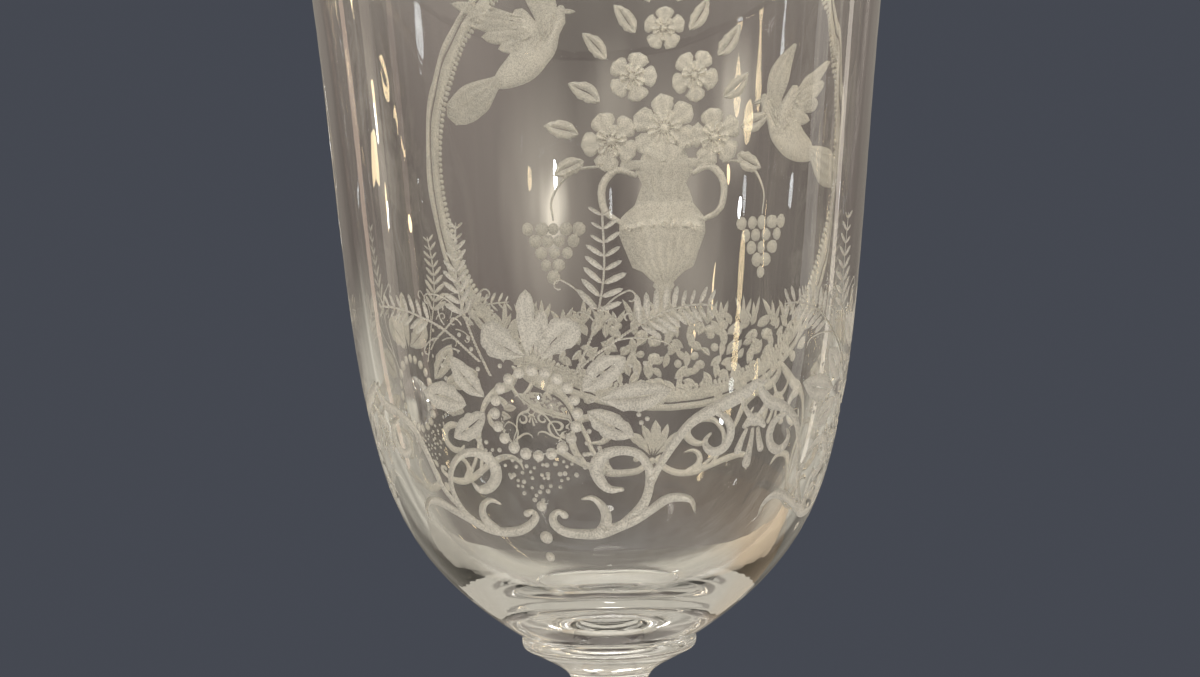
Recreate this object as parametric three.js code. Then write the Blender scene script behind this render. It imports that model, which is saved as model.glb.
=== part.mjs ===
import * as THREE from 'three';

// Engraved glass vase on a stem, in millimetres, +Z up, standing on the plane z = 0.
// Each piece is one gather of hot glass, turned round the Z axis.
// The pieces stand one on the other, flat seat on flat seat.

// Bowl, blown with a thick bottom and a wall that thins towards the rim.
const bowlHeight = 150;
const rimDiameter = 115;
const rimWall = 2.4;
const shoulderDiameter = 84.9;
const shoulderHeight = 40.4;
const shoulderWall = 3.2;
const bottomThickness = 5.5;
const bowlSeatDiameter = 30;
const bowlLipWidth = 2; // overhang of the bowl round its seat
const bowlLipRise = 0.7;

// Collar that carries the bowl, a pressed disc drawn down to the stem.
const collarHeight = 9.5;
const collarEdgeHeight = 2.6;
const collarEdgeBulge = 0.8; // how far the round edge stands past the seat

// Stem: a neck, a knop and a shaft that spreads to the foot.
const neckDiameter = 13.4;
const neckWaistDiameter = 12.4;
const neckLength = 12;
const neckWaistHeight = 6.6;
const knopDiameter = 25;
const knopHeight = 17;
const knopSeatDiameter = 15;
const shaftWaistDiameter = 12.6;
const shaftWaistHeight = 18;
const shaftLength = 30;
const shaftBaseDiameter = 20;

// Lower collar, a small pressed ring between the shaft and the foot.
const footCollarDiameter = 28;
const footCollarHeight = 4.5;
const footCollarSeatDiameter = 24;

// Foot, spun out flat, with a ground ring to stand on and a polished hollow under its centre.
const footDiameter = 92;
const footHeight = 10;
const footEdgeThickness = 3;
const groundRingWidth = 6;
const footHollow = 2.2;
const pontilDiameter = 18;
const pontilDepth = 1.2;

// Lean of the bowl's side: outward run for each millimetre of rise.
const shoulderLean = 0.22;
const rimLean = 0.36;
const neckLean = 0.1;

// Angles above level, in degrees, at which a curve leaves or meets an edge.
const bowlLowerAngle = 34;
const collarCoveAngle = 30;
const neckFlareAngle = 120;
const shaftSpreadAngle = 125;
const shaftTopAngle = 65;
const footRimAngle = 174;
const footPadAngle = 152;
const footEdgeEnd = 78;
const hollowAngle = -8;
const pontilAngle = -25;

// Fullness of each curve: how far it holds its end directions, in parts of its chord.
const lowerFullness = { leaving: 0.5, arriving: 0.3 };
const sideFullness = { leaving: 0.24, arriving: 0.24 };
const insideFullness = { leaving: 0.53, arriving: 0.3 };
const coveFullness = { leaving: 0.3, arriving: 0.5 };
const stemFullness = { leaving: 0.4, arriving: 0.4 };
const footFullness = { leaving: 0.45, arriving: 0.25 };
const underFullness = { leaving: 0.33, arriving: 0.33 };

// Fineness of the turned surfaces.
const wideSegments = 64;
const narrowSegments = 40;

const clearGlass = { color: 0xe9ecea, roughness: 0.04, metalness: 0 };

const level = new THREE.Vector2(1, 0);
const upright = new THREE.Vector2(0, 1);

function point(radius, height) {
  return new THREE.Vector2(radius, height);
}

// A direction in the profile plane, from its angle above level in degrees.
function angled(degrees) {
  const angle = THREE.MathUtils.degToRad(degrees);
  return point(Math.cos(angle), Math.sin(angle));
}

// A rising direction in the profile plane, from its lean away from the axis.
function leaning(lean) {
  return point(lean, 1).normalize();
}

// A smooth curve that leaves its start along one direction and meets its end along another.
function curve(start, leaving, end, arriving, fullness, steps) {
  const chord = start.distanceTo(end);
  const leadOut = start.clone().addScaledVector(leaving, fullness.leaving * chord);
  const leadIn = end.clone().addScaledVector(arriving, -fullness.arriving * chord);
  return new THREE.CubicBezierCurve(start, leadOut, leadIn, end).getPoints(steps);
}

// A round edge about a centre, from one angle to another in degrees.
function roundEdge(centre, across, up, fromDegrees, toDegrees, steps) {
  const points = [];
  for (let step = 0; step <= steps; step += 1) {
    const direction = angled(THREE.MathUtils.lerp(fromDegrees, toDegrees, step / steps));
    points.push(point(centre.x + across * direction.x, centre.y + up * direction.y));
  }
  return points;
}

// Joins runs of profile points and drops a point that two runs share.
function joined(...runs) {
  const points = [];
  for (const next of runs.flat()) {
    const last = points.at(-1);
    if (last === undefined || last.distanceTo(next) > 1e-3) {
      points.push(next);
    }
  }
  return points;
}

function footProfile() {
  const radius = footDiameter / 2;
  const edgeHalf = footEdgeThickness / 2;
  const ringInside = point(radius - edgeHalf - groundRingWidth, 0);
  const pontilRim = point(pontilDiameter / 2, footHollow);
  const pontilCentre = point(0, footHollow + pontilDepth);
  const padEdge = point(footCollarSeatDiameter / 2, footHeight);
  const edge = roundEdge(point(radius - edgeHalf, edgeHalf), edgeHalf, edgeHalf, -90, footEdgeEnd, 5);
  const pontil = curve(pontilCentre, level, pontilRim, angled(pontilAngle), underFullness, 2);
  const hollow = curve(pontilRim, level, ringInside, angled(hollowAngle), underFullness, 3);
  const upper = curve(edge.at(-1), angled(footRimAngle), padEdge, angled(footPadAngle), footFullness, 7);
  return joined(pontil, hollow, edge, upper, [point(0, footHeight)]);
}

function footCollarProfile() {
  const seat = footCollarSeatDiameter / 2;
  const half = footCollarHeight / 2;
  const edge = roundEdge(point(seat, half), footCollarDiameter / 2 - seat, half, -90, 90, 6);
  return joined([point(0, 0)], edge, [point(0, footCollarHeight)]);
}

function shaftProfile() {
  const base = point(shaftBaseDiameter / 2, 0);
  const waist = point(shaftWaistDiameter / 2, shaftWaistHeight);
  const top = point(knopSeatDiameter / 2, shaftLength);
  const spread = curve(base, angled(shaftSpreadAngle), waist, upright, stemFullness, 6);
  const rise = curve(waist, upright, top, angled(shaftTopAngle), stemFullness, 4);
  return joined([point(0, 0)], spread, rise, [point(0, shaftLength)]);
}

// The knop is a ball pressed flat where its neighbours seat on it.
function knopProfile() {
  const half = knopHeight / 2;
  const seatAngle = Math.acos(knopSeatDiameter / knopDiameter);
  const up = half / Math.sin(seatAngle);
  const degrees = THREE.MathUtils.radToDeg(seatAngle);
  const ball = roundEdge(point(0, half), knopDiameter / 2, up, -degrees, degrees, 8);
  return joined([point(0, 0)], ball, [point(0, knopHeight)]);
}

function neckProfile() {
  const base = point(knopSeatDiameter / 2, 0);
  const waist = point(neckWaistDiameter / 2, neckWaistHeight);
  const top = point(neckDiameter / 2, neckLength);
  const lower = curve(base, angled(neckFlareAngle), waist, upright, stemFullness, 3);
  const upper = curve(waist, upright, top, leaning(neckLean), stemFullness, 3);
  return joined([point(0, 0)], lower, upper, [point(0, neckLength)]);
}

function collarProfile() {
  const seat = bowlSeatDiameter / 2;
  const edgeHalf = collarEdgeHeight / 2;
  const neckEdge = point(neckDiameter / 2, 0);
  const edge = roundEdge(point(seat, collarHeight - edgeHalf), collarEdgeBulge, edgeHalf, -90, 90, 5);
  const cove = curve(neckEdge, leaning(neckLean), edge[0], angled(collarCoveAngle), coveFullness, 6);
  return joined([point(0, 0)], cove, edge, [point(0, collarHeight)]);
}

// The bowl's side above the shoulder, for its outer face or set in by the wall.
function bowlSide(shoulderInset, rimInset, steps) {
  const shoulder = point(shoulderDiameter / 2 - shoulderInset, shoulderHeight);
  const rimEdge = point(rimDiameter / 2 - rimInset, bowlHeight - rimWall / 2);
  return curve(shoulder, leaning(shoulderLean), rimEdge, leaning(rimLean), sideFullness, steps);
}

function bowlProfile() {
  const rimHalf = rimWall / 2;
  const seatEdge = point(bowlSeatDiameter / 2, 0);
  const lip = point(seatEdge.x + bowlLipWidth, bowlLipRise);
  const inmost = point(0, bottomThickness);
  const outerSide = bowlSide(0, 0, 8);
  const innerSide = bowlSide(shoulderWall, rimWall, 6);
  const outerLower = curve(
    lip, angled(bowlLowerAngle), outerSide[0], leaning(shoulderLean), lowerFullness, 10);
  const innerLower = curve(inmost, level, innerSide[0], leaning(shoulderLean), insideFullness, 9);
  const rimCentre = point(rimDiameter / 2 - rimHalf, bowlHeight - rimHalf);
  const rim = roundEdge(rimCentre, rimHalf, rimHalf, 0, 180, 4);
  const outside = joined([point(0, 0), seatEdge], outerLower, outerSide);
  const inside = joined(innerLower, innerSide);
  return joined(outside, rim, inside.reverse());
}

// Turns a profile that starts and ends on the axis into a standing mesh.
function turned(piece, base) {
  const geometry = new THREE.LatheGeometry(piece.profile, piece.segments);
  geometry.rotateX(Math.PI / 2);
  const mesh = new THREE.Mesh(geometry, new THREE.MeshStandardMaterial(clearGlass));
  mesh.name = piece.name;
  mesh.position.z = base;
  return mesh;
}

const stack = [
  { name: 'foot', profile: footProfile(), height: footHeight, segments: wideSegments },
  { name: 'foot_collar', profile: footCollarProfile(), height: footCollarHeight, segments: narrowSegments },
  { name: 'stem_shaft', profile: shaftProfile(), height: shaftLength, segments: narrowSegments },
  { name: 'stem_knop', profile: knopProfile(), height: knopHeight, segments: narrowSegments },
  { name: 'stem_neck', profile: neckProfile(), height: neckLength, segments: narrowSegments },
  { name: 'bowl_collar', profile: collarProfile(), height: collarHeight, segments: narrowSegments },
  { name: 'bowl', profile: bowlProfile(), height: bowlHeight, segments: wideSegments },
];

const vase = new THREE.Group();
let base = 0;
for (const piece of stack) {
  vase.add(turned(piece, base));
  base += piece.height;
}

export default vase;
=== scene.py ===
import math
import random

import bmesh
import bpy
import numpy as np
from mathutils import Matrix, Vector
from mathutils.bvhtree import BVHTree
from mathutils.geometry import delaunay_2d_cdt


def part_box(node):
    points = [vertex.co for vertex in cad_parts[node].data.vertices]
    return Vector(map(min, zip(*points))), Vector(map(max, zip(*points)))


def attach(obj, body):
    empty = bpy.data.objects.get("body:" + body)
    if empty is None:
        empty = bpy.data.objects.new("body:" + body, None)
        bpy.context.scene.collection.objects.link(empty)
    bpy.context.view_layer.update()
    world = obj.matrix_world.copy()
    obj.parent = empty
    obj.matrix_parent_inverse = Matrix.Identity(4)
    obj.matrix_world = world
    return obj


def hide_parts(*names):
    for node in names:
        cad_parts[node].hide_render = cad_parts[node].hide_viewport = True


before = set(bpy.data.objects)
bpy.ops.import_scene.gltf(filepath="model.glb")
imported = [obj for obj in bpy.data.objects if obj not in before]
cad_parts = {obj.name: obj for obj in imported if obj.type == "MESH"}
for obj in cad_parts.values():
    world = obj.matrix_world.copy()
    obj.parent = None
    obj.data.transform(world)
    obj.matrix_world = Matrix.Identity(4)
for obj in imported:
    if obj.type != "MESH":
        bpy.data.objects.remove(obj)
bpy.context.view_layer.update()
mm = 0.001  # the sizes below are in millimetres, the meshes in metres


class Wire:  # a node's output, which can be used in sums like a number
    def __init__(self, tree, socket):
        self.tree = tree
        self.socket = socket

    def math(self, operation, first, second):
        return self.tree.add("ShaderNodeMath", {"operation": operation}, {0: first, 1: second})["Value"]

    def __add__(self, other):
        return self.math("ADD", self, other)

    def __radd__(self, other):
        return self.math("ADD", other, self)

    def __sub__(self, other):
        return self.math("SUBTRACT", self, other)

    def __rsub__(self, other):
        return self.math("SUBTRACT", other, self)

    def __mul__(self, other):
        return self.math("MULTIPLY", self, other)

    def __truediv__(self, other):
        return self.math("DIVIDE", self, other)

    def __gt__(self, other):
        return self.math("GREATER_THAN", self, other)

    def above(self, other):
        return self.math("MAXIMUM", self, other)


class Outputs:  # the outputs of a node, by name
    def __init__(self, tree, node):
        self.tree = tree
        self.node = node

    def __getitem__(self, name):
        return Wire(self.tree, self.node.outputs[name])

    def numbered(self, number):
        return Wire(self.tree, self.node.outputs[number])


class Tree:  # a node tree that is filled by one method
    def __init__(self, tree):
        self.tree = tree
        tree.nodes.clear()

    def add(self, kind, settings=None, sockets=None):
        node = self.tree.nodes.new(kind)
        for name, value in (settings or {}).items():
            if name == "stops":
                self.setStops(node.color_ramp.elements, value)
            else:
                setattr(node, name, value)
        for name, value in (sockets or {}).items():
            if isinstance(value, Wire):
                self.tree.links.new(value.socket, node.inputs[name])
            else:
                node.inputs[name].default_value = value
        return Outputs(self, node)

    def blend(self, share, first, second):
        mix = self.add("ShaderNodeMix", {"data_type": "RGBA"}, {"Factor": share, 6: first, 7: second})
        return mix.numbered(2)

    def mapped(self, value, start, end, low=0.0, high=1.0, kind="SMOOTHSTEP"):
        return self.add("ShaderNodeMapRange", {"interpolation_type": kind}, {
            "Value": value, "From Min": start, "From Max": end, "To Min": low, "To Max": high})["Result"]

    def noise(self, place, scale, detail):
        return self.add("ShaderNodeTexNoise", {}, {"Vector": place, "Scale": scale, "Detail": detail})["Fac"]

    def vectors(self, operation, sockets, output="Vector"):
        return self.add("ShaderNodeVectorMath", {"operation": operation}, sockets)[output]

    def split(self, vector):
        return self.add("ShaderNodeSeparateXYZ", {}, {0: vector})

    def join(self, x=0.0, y=0.0, z=0.0):
        return self.add("ShaderNodeCombineXYZ", {}, {"X": x, "Y": y, "Z": z})["Vector"]

    def shaders(self, share, first, second):
        return self.add("ShaderNodeMixShader", {}, {0: share, 1: first, 2: second})["Shader"]

    def clear(self, shade):
        return self.add("ShaderNodeBsdfTransparent", {}, {"Color": shade})["BSDF"]

    def surface(self, shader):
        self.add("ShaderNodeOutputMaterial", {}, {"Surface": shader})

    def setStops(self, elements, stops):
        while len(elements) < len(stops):
            elements.new(1.0)
        for element, (place, colour) in zip(elements, stops):
            element.position = place
            element.color = colour


def newFinish(name):
    material = bpy.data.materials.new(name)
    material.use_nodes = True
    return material, Tree(material.node_tree)


# Clear glass, with the slow ripples of hand blowing. Light passes it on its way to the engraving.
clearSettings = {
    "tint": (0.985, 0.99, 0.985, 1), "ior": 1.5, "ripple": 0.045, "rippleScale": 80.0, "rippleDepth": 0.002,
    "upright": 0.2, "smearScale": 18.0, "smearStart": 0.45, "smearShare": 0.08, "softness": 0.0,
    "shade": (0.93, 0.93, 0.93, 1), "turns": 5.0}
pressedSettings = {**clearSettings, "softness": 0.09, "ripple": 0.1}


def makeClearGlass(name, s):
    material, tree = newFinish(name)
    place = tree.add("ShaderNodeTexCoord")["Object"]
    stretched = tree.add("ShaderNodeMapping", {}, {"Vector": place, "Scale": (1, 1, s["upright"])})["Vector"]
    ripple = tree.noise(stretched, s["rippleScale"], 2.0)
    smear = tree.noise(place, s["smearScale"], 3.0) - s["smearStart"]
    bump = tree.add("ShaderNodeBump", {}, {
        "Height": ripple, "Strength": s["ripple"], "Distance": s["rippleDepth"]})["Normal"]
    glass = tree.add("ShaderNodeBsdfPrincipled", {}, {
        "Base Color": s["tint"], "Roughness": smear.above(0.0) * s["smearShare"] + s["softness"],
        "IOR": s["ior"], "Transmission Weight": 1.0, "Normal": bump})["BSDF"]
    rays = tree.add("ShaderNodeLightPath")
    straight = rays["Is Shadow Ray"].above(rays["Ray Depth"] > s["turns"])
    tree.surface(tree.shaders(straight, glass, tree.clear(s["shade"])))
    return material


# Wheel-engraved glass: matte and lightly speckled, with painted relief shading: painted shade at the shallow
# edges of a cut and painted light where it is cut deep. It lets some light through.
engravedSettings = {
    "pale": (0.66, 0.62, 0.54, 1), "dark": (0.38, 0.355, 0.31, 1), "through": 0.28, "ior": 1.5,
    "roughness": 0.5, "roughShare": 0.2, "grain": 4200.0, "cloud": 260.0, "cloudShare": 0.2,
    "fleckStart": 0.37, "fleckEnd": 0.56, "bump": 0.5, "bumpDepth": 0.0001, "shade": (0.5, 0.5, 0.5, 1),
    "edgeTone": 0.8, "deepTone": 1.14, "fullDepth": 0.6}


def makeEngravedGlass(name, s):
    material, tree = newFinish(name)
    place = tree.add("ShaderNodeTexCoord")["Object"]
    grain = tree.noise(place, s["grain"], 2.0)
    cloud = tree.noise(place, s["cloud"], 3.0)
    spread = grain * (1.0 - s["cloudShare"]) + cloud * s["cloudShare"]
    fleck = tree.mapped(spread, s["fleckStart"], s["fleckEnd"], kind="LINEAR")
    speckled = tree.blend(fleck, s["dark"], s["pale"])
    deep = tree.add("ShaderNodeAttribute", {"attribute_name": "cutDepth"})["Fac"]
    # painted relief shading: the colour is darker at a cut's shallow edges and paler where it is cut deep
    paintedReliefShade = tree.mapped(deep, 0.0, s["fullDepth"], s["edgeTone"], s["deepTone"])
    colour = tree.vectors("SCALE", {0: speckled, "Scale": paintedReliefShade})
    bump = tree.add("ShaderNodeBump", {}, {
        "Height": grain, "Strength": s["bump"], "Distance": s["bumpDepth"]})["Normal"]
    matte = tree.add("ShaderNodeBsdfPrincipled", {}, {
        "Base Color": colour, "Roughness": grain * s["roughShare"] + s["roughness"], "IOR": s["ior"],
        "Transmission Weight": s["through"], "Normal": bump})["BSDF"]
    shadow = tree.add("ShaderNodeLightPath")["Is Shadow Ray"]
    tree.surface(tree.shaders(shadow, matte, tree.clear(s["shade"])))
    return material


# Where two gathers are fused there is no surface to see.
def makeFusedJoint(name):
    material, tree = newFinish(name)
    tree.surface(tree.clear((1, 1, 1, 1)))
    return material


clearGlass = makeClearGlass("clearGlass", clearSettings)
pressedGlass = makeClearGlass("pressedGlass", pressedSettings)
engravedGlass = makeEngravedGlass("engravedGlass", engravedSettings)
fusedJoint = makeFusedJoint("fusedJoint")


# Turned pieces: a profile of (radius, height) in millimetres, turned round the Z axis.
def buildTurnedTree():
    tree = bpy.data.node_groups.new("turnedGlass", "GeometryNodeTree")
    for name, kind in (("Profile", "NodeSocketGeometry"), ("Rings", "NodeSocketInt"),
                       ("Segments", "NodeSocketInt"), ("Finish", "NodeSocketMaterial")):
        tree.interface.new_socket(name, in_out="INPUT", socket_type=kind)
    tree.interface.new_socket("Geometry", in_out="OUTPUT", socket_type="NodeSocketGeometry")
    nodes = Tree(tree)
    given = nodes.add("NodeGroupInput")
    around = given["Segments"] + 1
    grid = nodes.add("GeometryNodeMeshGrid", {}, {"Vertices X": given["Rings"], "Vertices Y": around})["Mesh"]
    index = nodes.add("GeometryNodeInputIndex")["Index"]
    ring = nodes.add("ShaderNodeMath", {"operation": "FLOOR"}, {0: index / around})["Value"]
    step = index - ring * around
    profilePoint = nodes.add("GeometryNodeSampleIndex", {"data_type": "FLOAT_VECTOR", "domain": "POINT"}, {
        "Geometry": given["Profile"], "Value": nodes.add("GeometryNodeInputPosition")["Position"],
        "Index": ring})["Value"]
    onProfile = nodes.split(profilePoint)
    radius, height = onProfile["X"], onProfile["Z"]
    angle = step * (2 * math.pi) / given["Segments"]
    across = radius * nodes.add("ShaderNodeMath", {"operation": "COSINE"}, {0: angle})["Value"]
    along = radius * nodes.add("ShaderNodeMath", {"operation": "SINE"}, {0: angle})["Value"]
    turnedPlace = nodes.join(across, along, height)
    moved = nodes.add("GeometryNodeSetPosition", {}, {"Geometry": grid, "Position": turnedPlace})["Geometry"]
    closed = nodes.add("GeometryNodeMergeByDistance", {}, {"Geometry": moved, "Distance": 1e-6})["Geometry"]
    outward = nodes.add("GeometryNodeFlipFaces", {}, {"Mesh": closed})["Mesh"]
    smooth = nodes.add("GeometryNodeSetShadeSmooth", {}, {"Geometry": outward})["Geometry"]
    whole = nodes.add("GeometryNodeRealizeInstances", {}, {"Geometry": smooth})["Geometry"]
    finished = nodes.add("GeometryNodeSetMaterial", {}, {"Geometry": whole, "Material": given["Finish"]})
    nodes.add("NodeGroupOutput", {}, {"Geometry": finished["Geometry"]})
    return tree


turnedTree = buildTurnedTree()


def runTree(tree, geometry, name, values):
    source = bpy.data.objects.new(name + "Source", geometry)
    bpy.context.scene.collection.objects.link(source)
    modifier = source.modifiers.new("made", "NODES")
    modifier.node_group = tree
    for item in tree.interface.items_tree:
        if item.in_out == "INPUT" and item.name in values:
            modifier[item.identifier] = values[item.name]
    evaluated = source.evaluated_get(bpy.context.evaluated_depsgraph_get())
    mesh = bpy.data.meshes.new_from_object(evaluated)
    mesh.name = name
    bpy.data.objects.remove(source)
    return mesh


def placeObject(name, mesh):
    piece = bpy.data.objects.new(name, mesh)
    bpy.context.scene.collection.objects.link(piece)
    return piece


# A smooth curve in the profile plane: it holds each end direction for a share of its chord.
def curveRun(start, leaving, end, arriving, fullness, steps):
    start, end = Vector(start), Vector(end)
    chord = (end - start).length
    leadOut = start + Vector(leaving).normalized() * fullness[0] * chord
    leadIn = end - Vector(arriving).normalized() * fullness[1] * chord
    points = []
    for step in range(steps + 1):
        t = step / steps
        points.append(start * (1 - t) ** 3 + leadOut * 3 * t * (1 - t) ** 2
                      + leadIn * 3 * t * t * (1 - t) + end * t ** 3)
    return points


def angled(degrees):
    return Vector((math.cos(math.radians(degrees)), math.sin(math.radians(degrees))))


def roundRun(centre, across, up, start, end, steps):
    angles = [start + (end - start) * step / steps for step in range(steps + 1)]
    return [Vector((centre[0] + across * angled(a).x, centre[1] + up * angled(a).y)) for a in angles]


def joinRuns(*runs):
    points = []
    for point in (p for run in runs for p in run):
        if not points or (points[-1] - point).length > 1e-4:
            points.append(point)
    return points


creaseAngle = 50.0  # a turned piece is smooth below this angle in degrees


def turnPiece(name, profile, segments, finish):
    line = bpy.data.meshes.new(name + "Profile")
    line.from_pydata([(p.x * mm, 0, p.y * mm) for p in profile], [], [])
    mesh = runTree(turnedTree, line, name, {"Rings": len(profile), "Segments": segments, "Finish": finish})
    mesh.materials.clear()
    for made in (finish, fusedJoint):
        mesh.materials.append(made)
    mesh.polygons.foreach_set("material_index", [0] * len(mesh.polygons))
    mesh.set_sharp_from_angle(angle=math.radians(creaseAngle))
    return mesh


# Faces that lie flat on a neighbour's seat take the joint finish.
def markJoints(mesh, heights):
    for face in mesh.polygons:
        if abs(face.normal.z) > 0.999 and any(abs(face.center.z - h * mm) < 1e-5 for h in heights):
            face.material_index = 1


def levels(node):
    low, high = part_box(node)
    return low[2] / mm, high[2] / mm


def width(node):
    low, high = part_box(node)
    return (high[0] - low[0]) / mm


print("stem and foot")
footTop = levels("foot")[1]
collarTop = levels("foot_collar")[1]
shaftTop = levels("stem_shaft")[1]
knopTop = levels("stem_knop")[1]
neckTop = levels("stem_neck")[1]
bowlBottom, rimTop = levels("bowl")
level = Vector((1, 0))
upright = Vector((0, 1))

# Diameters, heights and widths in millimetres, angles above level in degrees, and the fullness of each
# curve: how far it holds its end directions, in parts of its chord.
footSizes = {
    "diameter": 92.0, "edge": 3.0, "ring": 6.0, "hollow": 2.2, "pontil": 18.0, "pontilDepth": 1.2,
    "seat": 24.0, "pontilAngle": -25, "hollowAngle": -8, "edgeEnd": 78, "rimAngle": 174, "padAngle": 152,
    "underFullness": (0.33, 0.33), "topFullness": (0.45, 0.25)}


def footProfile(s):
    radius, half = s["diameter"] / 2, s["edge"] / 2
    ringInside = Vector((radius - half - s["ring"], 0))
    pontilRim = Vector((s["pontil"] / 2, s["hollow"]))
    pontilTop = (0, s["hollow"] + s["pontilDepth"])
    padEdge = (s["seat"] / 2, footTop)
    pontil = curveRun(pontilTop, level, pontilRim, angled(s["pontilAngle"]), s["underFullness"], 10)
    hollow = curveRun(pontilRim, level, ringInside, angled(s["hollowAngle"]), s["underFullness"], 16)
    edge = roundRun((radius - half, half), half, half, -90, s["edgeEnd"], 12)
    upper = curveRun(edge[-1], angled(s["rimAngle"]), padEdge, angled(s["padAngle"]), s["topFullness"], 30)
    return joinRuns(pontil, hollow, edge, upper, [Vector((0, footTop))])


footCollarSizes = {"diameter": 28.0}


def footCollarProfile(s):
    middle, half = (footTop + collarTop) / 2, (collarTop - footTop) / 2
    seat = footSizes["seat"] / 2
    edge = roundRun((seat, middle), s["diameter"] / 2 - seat, half, -90, 90, 16)
    return joinRuns([Vector((0, footTop))], edge, [Vector((0, collarTop))])


knopSizes = {"diameter": 25.0, "seat": 15.0}


def knopProfile(s):
    middle, half = (shaftTop + knopTop) / 2, (knopTop - shaftTop) / 2
    seatAngle = math.acos(s["seat"] / s["diameter"])
    degrees = math.degrees(seatAngle)
    ball = roundRun((0, middle), s["diameter"] / 2, half / math.sin(seatAngle), -degrees, degrees, 28)
    return joinRuns([Vector((0, shaftTop))], ball, [Vector((0, knopTop))])


shaftSizes = {"base": 20.0, "waist": 12.6, "waistHeight": 18.0, "spreadAngle": 125, "topAngle": 65,
              "fullness": (0.4, 0.4)}


def shaftProfile(s):
    base, top = Vector((s["base"] / 2, collarTop)), Vector((knopSizes["seat"] / 2, shaftTop))
    waist = Vector((s["waist"] / 2, collarTop + s["waistHeight"]))
    spread = curveRun(base, angled(s["spreadAngle"]), waist, upright, s["fullness"], 20)
    rise = curveRun(waist, upright, top, angled(s["topAngle"]), s["fullness"], 12)
    return joinRuns([Vector((0, collarTop))], spread, rise, [Vector((0, shaftTop))])


neckSizes = {"top": 13.4, "waist": 12.4, "waistHeight": 6.6, "flareAngle": 120, "lean": 0.1,
             "fullness": (0.4, 0.4)}


def neckProfile(s):
    base, top = Vector((knopSizes["seat"] / 2, knopTop)), Vector((s["top"] / 2, neckTop))
    waist = Vector((s["waist"] / 2, knopTop + s["waistHeight"]))
    lower = curveRun(base, angled(s["flareAngle"]), waist, upright, s["fullness"], 10)
    upper = curveRun(waist, upright, top, (s["lean"], 1), s["fullness"], 10)
    return joinRuns([Vector((0, knopTop))], lower, upper, [Vector((0, neckTop))])


collarSizes = {"seat": 30.0, "edge": 2.6, "bulge": 0.8, "coveAngle": 30, "fullness": (0.3, 0.5)}


def bowlCollarProfile(s):
    seat, half = s["seat"] / 2, s["edge"] / 2
    edge = roundRun((seat, bowlBottom - half), s["bulge"], half, -90, 90, 14)
    neckEdge = Vector((neckSizes["top"] / 2, neckTop))
    cove = curveRun(neckEdge, (neckSizes["lean"], 1), edge[0], angled(s["coveAngle"]), s["fullness"], 20)
    return joinRuns([Vector((0, neckTop))], cove, edge, [Vector((0, bowlBottom))])


for node, profile, segments, seats in (
        ("foot", footProfile(footSizes), 144, (footTop,)),
        ("foot_collar", footCollarProfile(footCollarSizes), 96, (footTop, collarTop)),
        ("stem_shaft", shaftProfile(shaftSizes), 96, (collarTop, shaftTop)),
        ("stem_knop", knopProfile(knopSizes), 96, (shaftTop, knopTop)),
        ("stem_neck", neckProfile(neckSizes), 96, (knopTop, neckTop)),
        ("bowl_collar", bowlCollarProfile(collarSizes), 120, (neckTop, bowlBottom))):
    mesh = turnPiece(node + "_glass", profile, segments, pressedGlass if "collar" in node else clearGlass)
    markJoints(mesh, seats)
    piece = placeObject(node + "_glass", mesh)
    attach(piece, "root")
    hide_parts(node)

print("engraving")
# The outer wall is laid out flat: "across" is the way round on a cylinder of the flat radius, seen from
# outside, and "height" is above the ground. A cut is a small flat mesh whose points also have a depth.
wallSizes = {
    "flatRadius": 45.0, "low": 98.0, "high": 228.0, "spans": 8, "segments": 128, "fill": 3.3,
    "clearance": 0.55, "borderStep": 3.0, "borderClearance": 0.4, "merge": 0.02, "shallow": 0.02,
    "rimShare": 0.9, "levellings": 3, "band": 0.3, "weld": 2e-7, "creaseAngle": 60.0}


class Wall:  # the outer face of the bowl between two heights
    def __init__(self, outline):
        self.heights = np.array([p.y for p in outline])
        self.radii = np.array([p.x for p in outline])
        self.slopes = np.gradient(self.radii, self.heights)

    def radius(self, height):
        return np.interp(height, self.heights, self.radii)

    def slope(self, height):
        return np.interp(height, self.heights, self.slopes)

    def normal(self, angle, height):
        slope = self.slope(height)
        length = np.sqrt(1 + slope * slope)
        return np.stack([np.sin(angle) / length, -np.cos(angle) / length, -slope / length], -1)

    def place(self, angle, height, depth):
        radius = self.radius(height)
        face = np.stack([radius * np.sin(angle), -radius * np.cos(angle), height], -1)
        return face - self.normal(angle, height) * np.asarray(depth)[..., None]


class CutSheet:  # every cut on the flat wall
    def __init__(self, wall, flatRadius):
        self.wall = wall
        self.flatRadius = flatRadius
        self.cuts = []

    # A cut is drawn about its own middle line, which stands at an angle from the front of the vase.
    def add(self, middle, shape, kind="matte", flip=1, stretch=1.0):
        points, faces = shape
        across = np.array([p[0] for p in points]) * flip * stretch
        height = np.array([p[1] for p in points])
        angle = math.radians(middle) + across / self.wall.radius(height)
        flat = np.stack([angle * self.flatRadius, height, [p[2] for p in points]], -1)
        fans = np.array([(face[0], *pair) for face in faces for pair in zip(face[1:], face[2:])])
        a, b, c = (flat[fans[:, i], :2] for i in range(3))
        area = (b - a)[:, 0] * (c - a)[:, 1] - (b - a)[:, 1] * (c - a)[:, 0]
        fans[area < 0] = fans[area < 0][:, ::-1]
        self.cuts.append((flat, fans[abs(area) > 1e-5], kind))


def smoothPath(points, step):
    knots = [np.array(p, float) for p in points]
    knots = [2 * knots[0] - knots[1]] + knots + [2 * knots[-1] - knots[-2]]
    path = []
    for before, start, end, after in zip(knots, knots[1:], knots[2:], knots[3:]):
        count = max(2, math.ceil(np.linalg.norm((end - start)[:2]) / step))
        for t in np.arange(count) / count:
            leaving, arriving = (end - before) / 2, (after - start) / 2
            path.append((2 * t ** 3 - 3 * t * t + 1) * start + (t ** 3 - 2 * t * t + t) * leaving
                        + (3 * t * t - 2 * t ** 3) * end + (t ** 3 - t * t) * arriving)
    return path + [knots[-2]]


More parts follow.
